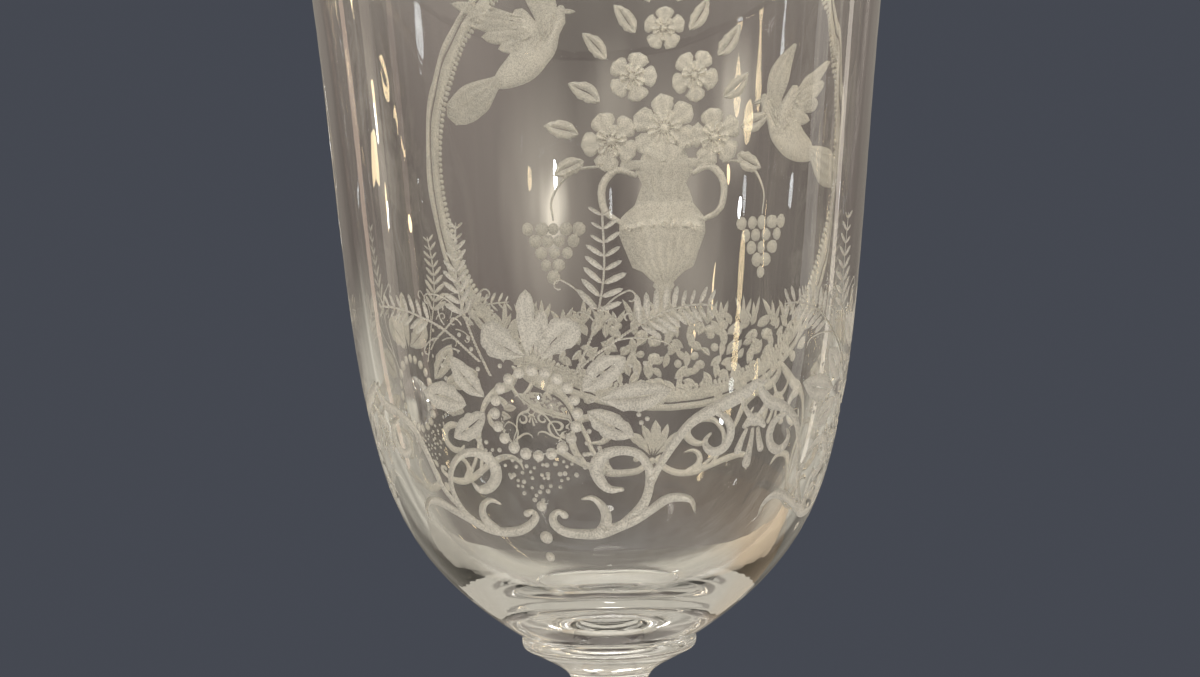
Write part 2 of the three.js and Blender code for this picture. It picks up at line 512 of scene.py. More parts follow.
def sideways(path):
    flat = np.array([p[:2] for p in path])
    along = np.gradient(flat, axis=0)
    along /= np.linalg.norm(along, axis=1)[:, None] + 1e-9
    return flat, along, np.stack([-along[:, 1], along[:, 0]], -1)


# A ground stroke along points of (across, height, width), with round ends. Its floor is rounded in as
# many lanes either side of the middle as are asked for, and can have flutes along it. It reaches its full
# depth where it is wide enough.
fluteSizes = {"mean": 0.72, "swing": 0.28}
fullDepthWidths = {"line": 0.25, "formShare": 0.6}


def stroke(points, depth, step=0.7, lanes=1, flutes=0):
    mean, swing = fluteSizes["mean"], fluteSizes["swing"]
    path = smoothPath(points, step)
    flat, along, side = sideways(path)
    half = np.array([p[2] / 2 for p in path])
    full = fullDepthWidths["line"] if lanes == 1 else half.max() * fullDepthWidths["formShare"]
    shares = [1 - lane / lanes for lane in range(2 * lanes + 1)]
    fluted = [mean - swing * math.cos(math.pi * flutes * (share + 1)) if flutes else 1.0 for share in shares]
    floor = [math.sqrt(1 - share * share) * rise for share, rise in zip(shares, fluted)]
    cut, faces = [], []
    for place, normal, reach in zip(flat, side, half):
        for share, deep in zip(shares, floor):
            cut.append((*(place + normal * reach * share), depth * min(1.0, reach / full) * deep))
    for row in range(len(flat) - 1):
        for lane in range(2 * lanes):
            a = row * len(shares) + lane
            faces.append((a, a + len(shares), a + len(shares) + 1, a + 1))
    for end, outward in ((0, -1), (len(flat) - 1, 1)):
        first, row = len(cut), end * len(shares)
        for angle in (45, 90, 135):
            turn = math.radians(angle)
            away = side[end] * math.cos(turn) + along[end] * outward * math.sin(turn)
            cut.append((*(flat[end] + half[end] * away), 0.0))
        fan = [row, first, first + 1, first + 2, row + 2 * lanes]
        faces += [(row + lanes, a, b) for a, b in zip(fan, fan[1:])]
    return cut, faces


# A leaf or petal of two lobes. The vein between them is left uncut where slit is above zero.
def leaf(base, tip, width, depth, slit=0.0, bend=0.0, fullAt=0.45, waver=0.06, steps=14, blunt=0.8):
    base, tip = np.array(base, float), np.array(tip, float)
    axis = tip - base
    normal = np.array([-axis[1], axis[0]]) / np.linalg.norm(axis)
    phase = base[0] * 1.7 + base[1]
    power = math.log(0.5) / math.log(fullAt)
    cut, faces = [], []
    for step in range(steps + 1):
        t = step / steps
        reach = width / 2 * math.sin(math.pi * t ** power) ** blunt if 0 < step < steps else 0.0
        opening = slit * max(0.0, math.sin(math.pi * (t - 0.18) / 0.6)) if 0.18 < t < 0.78 else 0.0
        middle = base + axis * t + normal * bend * 4 * t * (1 - t)
        for sideSign in (1, -1):
            wave = math.sin(9 * t * math.pi + phase + sideSign) + math.sin(23 * t + phase)
            edge = reach * (1 + waver * wave)
            inner = min(opening, edge * 0.5)
            for share, deep in ((1.0, 0.0), (0.5, 1.0), (0.0, 0.0 if inner > 0 else 0.45)):
                cut.append((*(middle + normal * sideSign * (inner + (edge - inner) * share)), depth * deep))
    for row in range(steps):
        for sideStart in (0, 3):
            for lane in (0, 1):
                a = row * 6 + sideStart + lane
                faces.append((a, a + 6, a + 7, a + 1))
    return cut, faces


# A round cut like the inside of a ball.
def roundCut(centre, across, up, depth, spokes=12, rings=2):
    cut, faces = [(*centre, depth)], []
    for ring in range(1, rings + 1):
        share = ring / rings
        for spoke in range(spokes):
            turn = 2 * math.pi * spoke / spokes
            cut.append((centre[0] + across * share * math.cos(turn), centre[1] + up * share * math.sin(turn),
                        depth * (1 - share * share)))
    for spoke in range(spokes):
        after = (spoke + 1) % spokes
        faces.append((0, 1 + spoke, 1 + after))
        for ring in range(rings - 1):
            low, high = 1 + ring * spokes, 1 + (ring + 1) * spokes
            faces.append((low + spoke, high + spoke, high + after, low + after))
    return cut, faces


# A fine tendril: it leaves along a heading, bends, and ends in a curl that tightens.
tendrilSizes = {"steps": 8, "curlStep": 30, "tightening": 0.45}


def tendril(start, heading, length, bend, curl, curlRadius, width, depth):
    s = tendrilSizes
    place, angle = np.array(start, float), math.radians(heading)
    path = [(*place, width)]
    for step in range(s["steps"]):
        angle += math.radians(bend) / s["steps"]
        place = place + np.array([math.cos(angle), math.sin(angle)]) * length / s["steps"]
        path.append((*place, width))
    turns = max(4, int(abs(curl) / s["curlStep"]))
    for step in range(turns):
        radius = curlRadius * (1 - s["tightening"] * step / turns)
        angle += math.radians(curl) / turns
        ahead = np.array([math.cos(angle), math.sin(angle)])
        place = place + ahead * radius * math.radians(abs(curl)) / turns
        path.append((*place, width))
    return stroke(path, depth, 0.5)


# Cuts that repeat along a line: fern leaflets, rope, berries and beads.
def buildRowTree():
    tree = bpy.data.node_groups.new("cutsInRow", "GeometryNodeTree")
    tree.interface.new_socket("Line", in_out="INPUT", socket_type="NodeSocketGeometry")
    for name, kind in (("Count", "Int"), ("Rings", "Int"), ("Spokes", "Int"), ("Seed", "Int"),
                       ("Length", "Float"), ("Width", "Float"), ("Taper", "Float"), ("Lean", "Float"),
                       ("Shift", "Float"), ("Waver", "Float"), ("Finish", "Material")):
        tree.interface.new_socket(name, in_out="INPUT", socket_type="NodeSocket" + kind)
    tree.interface.new_socket("Geometry", in_out="OUTPUT", socket_type="NodeSocketGeometry")
    nodes = Tree(tree)
    given = nodes.add("NodeGroupInput")
    cone = nodes.add("GeometryNodeMeshCone", {"fill_type": "NONE"}, {
        "Vertices": given["Spokes"], "Side Segments": given["Rings"], "Radius Top": 0.0,
        "Radius Bottom": 1.0, "Depth": 1.0})["Mesh"]
    place = nodes.split(nodes.add("GeometryNodeInputPosition")["Position"])
    depth = 1.0 - (place["X"] * place["X"] + place["Y"] * place["Y"])
    marked = nodes.add("GeometryNodeStoreNamedAttribute", {"data_type": "FLOAT", "domain": "POINT"}, {
        "Geometry": cone, "Name": "depth", "Value": depth})["Geometry"]
    shifted = nodes.join(place["X"] + given["Shift"], place["Y"])
    shape = nodes.add("GeometryNodeSetPosition", {}, {"Geometry": marked, "Position": shifted})["Geometry"]
    line = nodes.add("GeometryNodeMeshToCurve", {}, {"Mesh": given["Line"]})["Curve"]
    row = nodes.add("GeometryNodeCurveToPoints", {"mode": "COUNT"}, {"Curve": line, "Count": given["Count"]})
    along = nodes.split(row["Tangent"])
    heading = nodes.add("ShaderNodeMath", {"operation": "ARCTAN2"}, {0: along["Y"], 1: along["X"]})["Value"]
    turn = nodes.join(z=heading + given["Lean"])
    index = nodes.add("GeometryNodeInputIndex")["Index"]
    chance = nodes.add("FunctionNodeRandomValue", {"data_type": "FLOAT"}, {
        "Min": -0.5, "Max": 0.5, "ID": index, "Seed": given["Seed"]})["Value"]
    fade = 1.0 - given["Taper"] * index / given["Count"] + given["Waver"] * chance
    size = nodes.join(given["Length"] * fade * 0.5, given["Width"] * fade * 0.5, 1.0)
    cuts = nodes.add("GeometryNodeInstanceOnPoints", {}, {
        "Points": row["Points"], "Instance": shape, "Rotation": turn, "Scale": size})["Instances"]
    whole = nodes.add("GeometryNodeRealizeInstances", {}, {"Geometry": cuts})["Geometry"]
    finished = nodes.add("GeometryNodeSetMaterial", {}, {"Geometry": whole, "Material": given["Finish"]})
    nodes.add("NodeGroupOutput", {}, {"Geometry": finished["Geometry"]})
    return tree


rowTree = buildRowTree()
rowValues = {"Count": 10, "Rings": 1, "Spokes": 8, "Seed": 1, "Length": 1.0, "Width": 1.0, "Taper": 0.0,
             "Lean": 0.0, "Shift": 0.0, "Waver": 0.0}


def cutRow(path, depth, values, closed=False):
    line = bpy.data.meshes.new("cutLine")
    links = [(i, i + 1) for i in range(len(path) - 1)] + ([(len(path) - 1, 0)] if closed else [])
    line.from_pydata([(p[0], p[1], 0) for p in path], links, [])
    mesh = runTree(rowTree, line, "cutRow", {**rowValues, **values, "Finish": engravedGlass})
    depths = [depth * item.value for item in mesh.attributes["depth"].data]
    points = [(v.co.x, v.co.y, deep) for v, deep in zip(mesh.vertices, depths)]
    faces = [tuple(face.vertices) for face in mesh.polygons]
    bpy.data.meshes.remove(mesh)
    return points, faces


def circlePath(centre, across, up, count):
    turns = [2 * math.pi * i / count for i in range(count)]
    return [(centre[0] + across * math.cos(t), centre[1] + up * math.sin(t)) for t in turns]


bouquetSizes = {
    "middle": 125.3, "ring": 6.85, "berries": 20, "berry": 1.85, "berryDepth": 0.45,
    "lensAcross": 5.9, "lensUp": 5.0, "lensDepth": 0.95, "lensDrop": 1.6, "leafDepth": 0.3,
    "lineWidth": 0.28, "lineDepth": 0.24, "stemWidth": 0.34, "stemTip": 0.12, "stemDepth": 0.2,
    "twistDepth": 0.3, "leafletDepth": 0.36, "dot": 0.4, "dotDepth": 0.26, "dotLow": 111.2, "dotHigh": 120.5,
    "dotStep": 1.12, "dotSpread": 11.0, "dropDepth": 0.4}
# base and tip of each leaf, its width, the opening at its vein, its bend and how blunt its ends are
leaves = [
    ((-8.1, 127.9), (-14.1, 134.5), 3.9, 0.13, 0.4, 0.8),
    ((-11.6, 126.6), (-20.6, 128.7), 4.8, 0.12, -0.3, 0.75),
    ((-8.2, 125.4), (-14.8, 121.2), 4.1, 0.13, 0.3, 0.75),
    ((8.4, 128.8), (15.4, 134.0), 4.5, 0.14, 0.4, 0.7),
    ((10.8, 127.5), (22.6, 128.9), 4.6, 0.13, -0.5, 0.85),
    ((8.8, 125.6), (16.0, 121.5), 4.3, 0.16, -0.3, 0.7),
    ((-0.5, 134.4), (-7.7, 139.3), 5.3, 0.07, 0.7, 0.58),
    ((0.2, 134.2), (0.1, 144.9), 3.0, 0.0, 0.25, 0.42),
    ((1.3, 134.0), (2.7, 141.9), 2.3, 0.0, -0.1, 0.45),
    ((2.0, 134.0), (8.4, 139.4), 5.2, 0.09, 0.7, 0.55)]
# stem of each fern, then how many pairs of leaflets it has, how long they are and where they start
ferns = [
    {"stem": [(-6.8, 131.5), (-9.4, 137.2), (-11.4, 143.4), (-11.9, 149.4), (-11.4, 155.6)],
     "from": 0.42, "pairs": 9, "length": 3.6, "width": 1.0, "lean": 0.85, "taper": 0.6},
    {"stem": [(6.4, 129.8), (9.6, 136.0), (11.2, 140.2), (12.7, 147.6), (12.8, 157.0)],
     "from": 0.46, "pairs": 8, "length": 4.1, "width": 1.05, "lean": 1.0, "taper": 0.58},
    {"stem": [(-8.6, 133.7), (-14.6, 138.5), (-19.8, 140.8), (-24.9, 142.2), (-30.6, 142.7)],
     "from": 0.48, "pairs": 8, "length": 3.5, "width": 0.95, "lean": 0.9, "taper": 0.55},
    {"stem": [(8.2, 132.6), (12.1, 135.4), (19.9, 140.2), (25.9, 141.9), (30.0, 141.9)],
     "from": 0.48, "pairs": 9, "length": 4.2, "width": 1.1, "lean": 1.1, "taper": 0.5}]
# start, heading, length, bend, curl and radius of the curl of each tendril
tendrils = [
    ((-11.9, 141.8), 128, 7.0, 50, 190, 0.9), ((-14.9, 139.6), 140, 2.8, -50, -190, 0.6),
    ((-11.5, 139.5), 110, 1.9, 60, 200, 0.6), ((-12.2, 135.3), 150, 3.4, 50, 150, 0.8),
    ((-16.3, 137.4), 175, 3.8, 60, 190, 0.7), ((-9.8, 139.4), 98, 6.5, -60, -200, 0.9),
    ((10.8, 141.2), 112, 7.2, 40, 220, 0.9), ((10.6, 139.9), 118, 2.4, 50, 200, 0.7),
    ((12.7, 142.0), 50, 4.4, -30, -210, 1.0), ((12.6, 139.6), 60, 1.4, -60, -200, 0.8),
    ((16.5, 139.2), 35, 1.3, 60, 220, 0.8), ((14.3, 136.7), 15, 8.0, -35, -60, 1.6)]
looseDots = [
    (-12.0, 137.9), (-10.3, 137.4), (-9.9, 135.6), (-15.9, 133.0), (-15.3, 130.9), (-10.6, 128.8),
    (-4.9, 132.9), (-8.9, 132.4), (-9.6, 121.0), (-8.5, 120.6), (-8.0, 118.7), (9.4, 131.0),
    (18.4, 133.0), (16.1, 132.7), (16.9, 131.6), (9.7, 127.3), (8.9, 122.4), (8.4, 120.5),
    (10.3, 119.7), (8.4, 118.7), (6.9, 117.6), (16.9, 124.9), (17.2, 123.6), (18.2, 124.2)]
# height and size of the three drops that hang under a bouquet
bouquetDrops = [(110.2, 0.85), (104.9, 1.05), (101.5, 0.8)]


def partOf(path, start, end):
    count = len(path) - 1
    return path[int(start * count):int(end * count) + 1]


def engraveFern(sheet, middle, fern, flip):
    s = bouquetSizes
    path = smoothPath(fern["stem"], 0.5)
    lower, upper = partOf(path, 0.0, fern["from"]), partOf(path, fern["from"], 0.97)
    stem = [(*p, s["stemWidth"]) for p in path[::4]] + [(*path[-1], s["stemTip"])]
    sheet.add(middle, stroke(stem, s["stemDepth"], 0.8), flip=flip)
    twist = {"Count": int(len(lower) * 0.9), "Length": 0.8, "Width": s["stemWidth"], "Lean": 0.6}
    sheet.add(middle, cutRow(lower, s["twistDepth"], twist), flip=flip)
    for side, seed in ((1, 3), (-1, 8)):
        leaflets = {"Count": fern["pairs"], "Length": fern["length"], "Width": fern["width"],
                    "Taper": fern["taper"], "Lean": side * fern["lean"], "Shift": 1.06, "Waver": 0.25,
                    "Seed": seed, "Spokes": 8}
        sheet.add(middle, cutRow(upper, s["leafletDepth"], leaflets), flip=flip)


def engraveBouquet(sheet, middle, flip, seed):
    s = bouquetSizes
    chance = random.Random(seed)
    centre = (0.4, s["middle"])
    for base, tip, width, slit, bend, blunt in leaves:
        shape = leaf(base, tip, width, s["leafDepth"], slit, bend, 0.62 if blunt < 0.6 else 0.5, blunt=blunt)
        sheet.add(middle, shape, flip=flip)
    for fern in ferns:
        engraveFern(sheet, middle, fern, flip)
    for start, heading, length, bend, curl, radius in tendrils:
        shape = tendril(start, heading, length, bend, curl, radius, s["lineWidth"], s["lineDepth"])
        sheet.add(middle, shape, flip=flip)
    berries = {"Count": s["berries"], "Length": s["berry"], "Width": s["berry"], "Rings": 3, "Spokes": 14,
               "Waver": 0.12, "Seed": seed}
    ring = circlePath(centre, s["ring"], s["ring"], 60)
    sheet.add(middle, cutRow(ring, s["berryDepth"], berries, closed=True), flip=flip)
    low = (centre[0], centre[1] - s["lensDrop"])
    lens = roundCut(low, s["lensAcross"], s["lensUp"], s["lensDepth"], 48, 10)
    sheet.add(middle, lens, "polished", flip=flip)
    for across, height in looseDots:
        sheet.add(middle, roundCut((across, height), s["dot"], s["dot"], s["dotDepth"], 8, 1), flip=flip)
    rows = int((s["dotHigh"] - s["dotLow"]) / s["dotStep"])
    for row in range(rows):
        height = s["dotLow"] + row * s["dotStep"]
        reach = s["dotSpread"] * (row + 0.7) / rows
        for across in np.arange(-reach, reach, s["dotStep"] * 1.25):
            place = (across + chance.uniform(-0.5, 0.5), height + chance.uniform(-0.4, 0.4))
            if math.hypot(place[0] - centre[0], place[1] - centre[1]) > s["ring"] + 1.3:
                size = s["dot"] * chance.uniform(0.7, 1.1)
                sheet.add(middle, roundCut(place, size, size, s["dotDepth"], 7, 1), flip=flip)
    for height, size in bouquetDrops:
        drop = roundCut((0.0, height), size, size * 1.05, s["dropDepth"], 14, 3)
        sheet.add(middle, drop, flip=flip)


# Scrolls either side of a bouquet, as points of (across, height, width) from its middle line.
leftScrolls = {
    "lower": [(-24.3, 106.9, 0.3), (-24.4, 108.7, 0.9), (-23.0, 110.1, 1.35), (-20.4, 110.1, 1.45),
              (-17.2, 108.9, 1.4), (-13.6, 107.4, 1.4), (-10.3, 106.0, 1.5), (-7.0, 105.6, 1.6),
              (-4.3, 106.0, 1.6), (-2.3, 107.1, 1.45), (-1.2, 108.4, 1.2), (-1.7, 109.3, 0.9),
              (-2.7, 108.9, 1.2)],
    "hook": [(-8.6, 106.0, 1.6), (-10.3, 107.3, 1.7), (-10.9, 108.8, 1.5), (-10.3, 110.3, 1.2),
             (-8.8, 111.0, 0.85), (-7.2, 110.4, 0.35)],
    "curl": [(-14.1, 108.1, 0.7), (-16.0, 110.8, 1.0), (-16.7, 113.5, 1.1), (-15.9, 116.3, 1.2),
             (-13.5, 118.4, 1.3), (-10.3, 118.8, 1.6), (-7.8, 117.3, 2.0), (-7.3, 115.1, 2.1),
             (-8.7, 113.2, 1.8), (-10.8, 112.7, 1.3), (-11.9, 113.7, 0.5)]}
rightScrolls = {
    "lower": [(3.6, 108.7, 1.3), (2.7, 109.3, 0.95), (1.7, 108.6, 1.25), (1.7, 107.2, 1.5),
              (3.2, 105.9, 1.6), (6.0, 105.5, 1.7), (8.9, 105.6, 1.85), (11.8, 106.6, 1.7),
              (14.7, 107.7, 1.5), (17.7, 109.4, 1.4), (20.3, 111.0, 1.5), (22.8, 111.2, 1.4),
              (24.5, 110.5, 1.05), (24.9, 108.6, 0.3)],
    "hook": [(8.9, 105.6, 1.8), (10.1, 107.4, 1.8), (10.2, 109.3, 1.6), (9.3, 110.9, 1.2),
             (8.2, 111.6, 0.85), (6.8, 111.4, 0.4)],
    "curl": [(14.8, 108.2, 1.2), (16.7, 110.6, 1.4), (17.8, 113.8, 1.5), (17.8, 116.4, 1.5),
             (16.3, 118.6, 1.5), (13.5, 119.2, 1.5), (10.9, 118.5, 1.9), (9.5, 116.6, 2.2),
             (9.9, 114.5, 1.9), (11.2, 113.0, 1.4), (13.3, 112.9, 0.7)]}
# the wide arm that climbs from a bouquet to the next festoon
risingArm = [
    (11.9, 106.6, 1.0), (16.2, 110.4, 1.2), (18.7, 115.1, 1.2), (21.8, 119.5, 1.35), (25.5, 123.4, 1.6),
    (30.1, 125.6, 2.1), (33.4, 126.9, 2.3), (36.2, 128.2, 1.9), (38.2, 129.6, 1.0)]
# the festoon, from the middle line of its peak: its falling arm, two curls, three drops and their crown
festoonStrokes = [
    [(1.4, 129.7, 0.6), (0.4, 128.8, 1.2), (1.1, 127.4, 1.8), (3.2, 125.9, 2.1), (6.1, 125.2, 1.9),
     (9.0, 123.8, 1.6), (11.2, 121.7, 1.4), (12.9, 117.6, 1.25), (14.6, 112.0, 1.1), (19.7, 106.0, 1.0)],
    [(-8.0, 124.9, 0.8), (-6.1, 123.9, 1.3), (-4.9, 122.4, 1.5), (-4.8, 120.5, 1.6), (-5.8, 118.9, 1.6),
     (-7.5, 118.4, 1.5), (-8.9, 119.3, 1.2), (-9.2, 120.5, 0.9), (-8.4, 121.4, 0.45)],
    [(7.4, 124.2, 0.9), (5.0, 123.3, 1.2), (3.8, 122.2, 1.5), (3.4, 120.4, 1.6), (4.3, 118.6, 1.7),
     (6.1, 117.9, 1.6), (7.7, 118.7, 1.3), (8.2, 120.2, 0.9), (7.6, 121.2, 0.45)],
    [(-1.7, 121.7, 0.7), (-2.4, 120.1, 1.0), (-2.9, 118.4, 1.45)],
    [(-0.4, 121.7, 0.7), (-0.5, 119.1, 1.1), (-0.8, 116.2, 1.75)],
    [(0.7, 121.7, 0.8), (1.1, 120.2, 1.05), (1.8, 118.5, 1.4)],
    [(-2.2, 122.3, 0.9), (-1.2, 123.1, 1.7), (-0.1, 123.4, 2.1), (0.9, 123.0, 1.7), (1.9, 122.2, 0.9)],
    [(-3.2, 126.6, 0.9), (-2.2, 124.9, 0.9), (-0.9, 123.6, 1.2)],
    [(2.0, 125.9, 0.9), (1.1, 124.7, 0.9), (0.3, 123.6, 1.2)]]
scrollDepth = 0.42
# middle lines in degrees from the front: three bouquets, the medallion with its palmette, four festoons
middles = {"bouquets": (-15.5, 78.5, 245.0), "palmette": 165.0, "medallion": 163.3,
           "festoons": (35.0, 122.0, 205.0, 297.0)}
armTurns = {"rising": 50.5, "falling": 47.5}  # degrees that the two arms span in the front sector


def engraveScrolls(sheet):
    feet = sorted(middles["bouquets"] + (middles["palmette"],))
    for middle in feet:
        for scrolls in (leftScrolls, rightScrolls):
            for points in scrolls.values():
                sheet.add(middle, stroke(points, scrollDepth))
        ahead = min((f - middle) % 360 for f in middles["festoons"])
        sheet.add(middle, stroke(risingArm, scrollDepth), stretch=ahead / armTurns["rising"])
    for middle in middles["festoons"]:
        ahead = min((f - middle) % 360 for f in feet)
        sheet.add(middle, stroke(festoonStrokes[0], scrollDepth), stretch=ahead / armTurns["falling"])
        for points in festoonStrokes[1:]:
            sheet.add(middle, stroke(points, scrollDepth))


# tip and width of each leaf of the palmette, and height and size of the drops under it
palmetteSizes = {
    "base": 109.6, "narrowing": 0.12, "leafDepth": 0.25, "dropDepth": 0.4,
    "leaves": (((0.0, 118.5), 2.6), ((-5.6, 115.6), 2.3), ((5.6, 115.6), 2.3),
               ((-2.9, 117.6), 1.7), ((2.9, 117.6), 1.7)),
    "drops": ((108.2, 0.9), (104.2, 0.9), (101.4, 0.7))}


def engravePalmette(sheet, middle):
    s = palmetteSizes
    for tip, width in s["leaves"]:
        base = (tip[0] * s["narrowing"], s["base"])
        sheet.add(middle, leaf(base, tip, width, s["leafDepth"], 0.0, 0.3, 0.62))
    for height, size in s["drops"]:
        sheet.add(middle, roundCut((0.0, height), size, size, s["dropDepth"], 14, 3))


# The medallion: an oval frame of two bands and a row of beads, with doves at an urn of flowers inside.
medallionSizes = {
    "height": 172.3, "across": 55.2, "up": 52.0, "outerBand": 1.3, "gap": 0.35, "innerBand": 2.2,
    "bead": 1.12, "depth": 0.34, "beadDepth": 0.4, "relief": 0.26, "deepRelief": 0.42}


def engraveFrame(sheet, middle):
    s = medallionSizes
    inset = s["outerBand"] / 2
    for width in (s["outerBand"], s["innerBand"]):
        path = circlePath((0, s["height"]), s["across"] - inset, s["up"] - inset, 120)
        sheet.add(middle, stroke([(*p, width) for p in path + path[:1]], s["depth"], 3.0))
        inset += (s["outerBand"] + s["innerBand"]) / 2 + s["gap"]
    inset = s["outerBand"] + s["gap"] + s["innerBand"] + s["bead"] * 0.4
    path = circlePath((0, s["height"]), s["across"] - inset, s["up"] - inset, 180)
    around = 2 * math.pi * (s["across"] + s["up"] - 2 * inset) / 2
    beads = {"Count": int(around / s["bead"]), "Length": s["bead"] * 0.94, "Width": s["bead"] * 1.15,
             "Rings": 1, "Spokes": 8}
    sheet.add(middle, cutRow(path, s["beadDepth"], beads, closed=True))


# share of the rose's radius, width, depth and turn of its outer and inner petals
roseRows = ((1.0, 1.42, 0.5, 0.0), (0.56, 1.1, 0.8, 0.5))
roseHeart = {"share": 0.17, "depth": 0.9}


def wildRose(sheet, middle, centre, radius, petals, turned):
    for share, width, depth, shift in roseRows:
        for petal in range(petals):
            turn = 2 * math.pi * (petal + shift) / petals + turned
            away = np.array([math.cos(turn), math.sin(turn)]) * radius * share
            base, tip = np.array(centre) + away * 0.12, np.array(centre) + away
            wide = width * radius * share * math.sin(math.pi / petals)
            sheet.add(middle, leaf(base, tip, wide, depth, 0.0, 0.0, 0.68, 0.05, 9, 0.7))
    heart = radius * roseHeart["share"]
    sheet.add(middle, roundCut(centre, heart, heart, roseHeart["depth"], 8, 2))


grapeSizes = {"radius": 1.45, "widest": 5, "apart": 1.95, "drop": 1.7}


def grapes(sheet, middle, top, chance):
    s = grapeSizes
    across, height = top
    for row in range(s["widest"], 0, -1):
        for i in range(row):
            shift = (i - (row - 1) / 2) * s["radius"] * s["apart"]
            place = (across + shift + chance.uniform(-0.3, 0.3), height)
            size = s["radius"] * chance.uniform(0.85, 1.05)
            sheet.add(middle, roundCut(place, size, size, medallionSizes["relief"], 9, 2))
        height = height - s["radius"] * s["drop"]


# A dove in flight, drawn about its middle as points of (across, height, width). The strokes are the tail,
# far wing and body, then the root of the near wing. The feathers between have a base, tip and width.
doveSizes = {
    "tail": [(-6.5, -2.0, 2.2), (-9.5, -3.2, 4.6), (-13.0, -4.6, 6.6), (-15.8, -5.4, 5.8)],
    "farWing": [(4.2, 3.2, 1.6), (5.4, 7.6, 4.4), (4.4, 12.2, 5.2), (1.2, 17.0, 1.0)],
    "body": [(-8.0, -2.6, 1.0), (-5.0, -1.8, 4.2), (-0.6, 0.0, 6.8), (3.4, 2.2, 5.8), (5.8, 4.8, 3.6),
             (7.2, 6.6, 4.0), (8.4, 7.9, 1.8)],
    "feathers": (((1.6, 4.2), (-5.2, 3.6), 2.6), ((1.0, 5.4), (-8.2, 6.4), 2.8),
                 ((0.6, 6.8), (-11.0, 9.8), 2.8), ((0.8, 8.2), (-13.0, 13.4), 2.6)),
    "wingRoot": [(3.2, 2.4, 3.0), (1.8, 5.0, 4.6), (0.4, 8.4, 3.4)],
    "beak": ((8.6, 7.6), (10.9, 6.9)), "beakWidth": 1.0, "beakDepth": 0.3}


# Facing is 1 to the right or -1 to the left, and tilt is in degrees.
def dove(sheet, middle, place, facing, tilt, size):
    s, relief, deepRelief = doveSizes, medallionSizes["relief"], medallionSizes["deepRelief"]
    turn = math.radians(tilt)

    def at(across, height):
        x = across * math.cos(turn) - height * math.sin(turn)
        y = across * math.sin(turn) + height * math.cos(turn)
        return (place[0] + facing * x * size, place[1] + y * size)

    def form(points, depth, lanes=3, flutes=0):
        sheet.add(middle, stroke([(*at(x, y), w * size) for x, y, w in points], depth, 1.6, lanes, flutes))

    form(s["tail"], relief, 8, 4)
    form(s["farWing"], relief, 6, 3)
    form(s["body"], deepRelief)
    for base, tip, wide in s["feathers"]:
        sheet.add(middle, leaf(at(*base), at(*tip), wide * size, relief, 0.0, -0.3, 0.55, 0.02, 9, 0.55))
    form(s["wingRoot"], deepRelief, 3)
    base, tip = s["beak"]
    sheet.add(middle, leaf(at(*base), at(*tip), s["beakWidth"] * size, s["beakDepth"], steps=5))


# The urn, from its foot up: parts of its belly as (height, width), plates as height, reach and thickness,
# a handle as (across, height, width), and a row of buds round its belly.
urnSizes = {
    "foot": [(1.6, 6.4), (3.4, 3.0), (5.6, 3.0), (7.0, 5.0)],
    "cup": [(7.4, 3.4), (9.2, 8.0), (13.0, 15.2), (16.6, 18.6)],
    "shoulder": [(17.6, 19.4), (21.0, 18.6), (23.6, 13.0)],
    "neck": [(24.6, 10.6), (27.4, 9.2), (30.4, 12.6)],
    "plates": ((0.7, 6.6, 1.8), (31.9, 8.8, 2.0)),
    "handle": [(6.4, 29.8, 1.1), (10.6, 31.0, 1.5), (13.6, 27.6, 1.7), (13.0, 22.6, 1.5), (9.4, 20.2, 1.0)],
    "handleDepth": 0.4, "buds": 7, "budStep": 2.5, "budHeight": 19.6, "budArc": 0.09, "bud": 0.9,
    "budDepth": 1.1}


def engraveUrn(sheet, middle, foot):
    s, relief, deepRelief = urnSizes, medallionSizes["relief"], medallionSizes["deepRelief"]
    x, y = foot

    def belly(points, depth, lanes=5, flutes=0):
        sheet.add(middle, stroke([(x, y + up, wide) for up, wide in points], depth, 1.6, lanes, flutes))

    belly(s["foot"], relief, 3)
    belly(s["cup"], deepRelief, 16, 8)
    belly(s["shoulder"], deepRelief)
    belly(s["neck"], relief, 10, 5)
    for up, reach, thick in s["plates"]:
        plate = [(x - reach, y + up, thick), (x, y + up, thick), (x + reach, y + up, thick)]
        sheet.add(middle, stroke(plate, relief, 2.4, 2))
    for side in (-1, 1):
        handle = [(x + side * a, y + b, w) for a, b, w in s["handle"]]
        sheet.add(middle, stroke(handle, s["handleDepth"], 1.6, 2))
    for bud in range(s["buds"]):
        step = bud - s["buds"] // 2
        place = (x + step * s["budStep"], y + s["budHeight"] - s["budArc"] * step ** 2)
        sheet.add(middle, roundCut(place, s["bud"], s["bud"], s["budDepth"], 8, 2))


# The mound that the urn stands on: small leaves and round buds, with tufts of grass on top.
moundSizes = {
    "rows": 8, "top": 0.2, "rowStep": 1.95, "reach": 38.5, "step": 2.5, "leafShare": 0.75, "tufts": 18,
    "tuftReach": 37, "tuftLow": 0.6, "blades": 3, "bladeWidth": 1.15, "bladeDepth": 0.2}


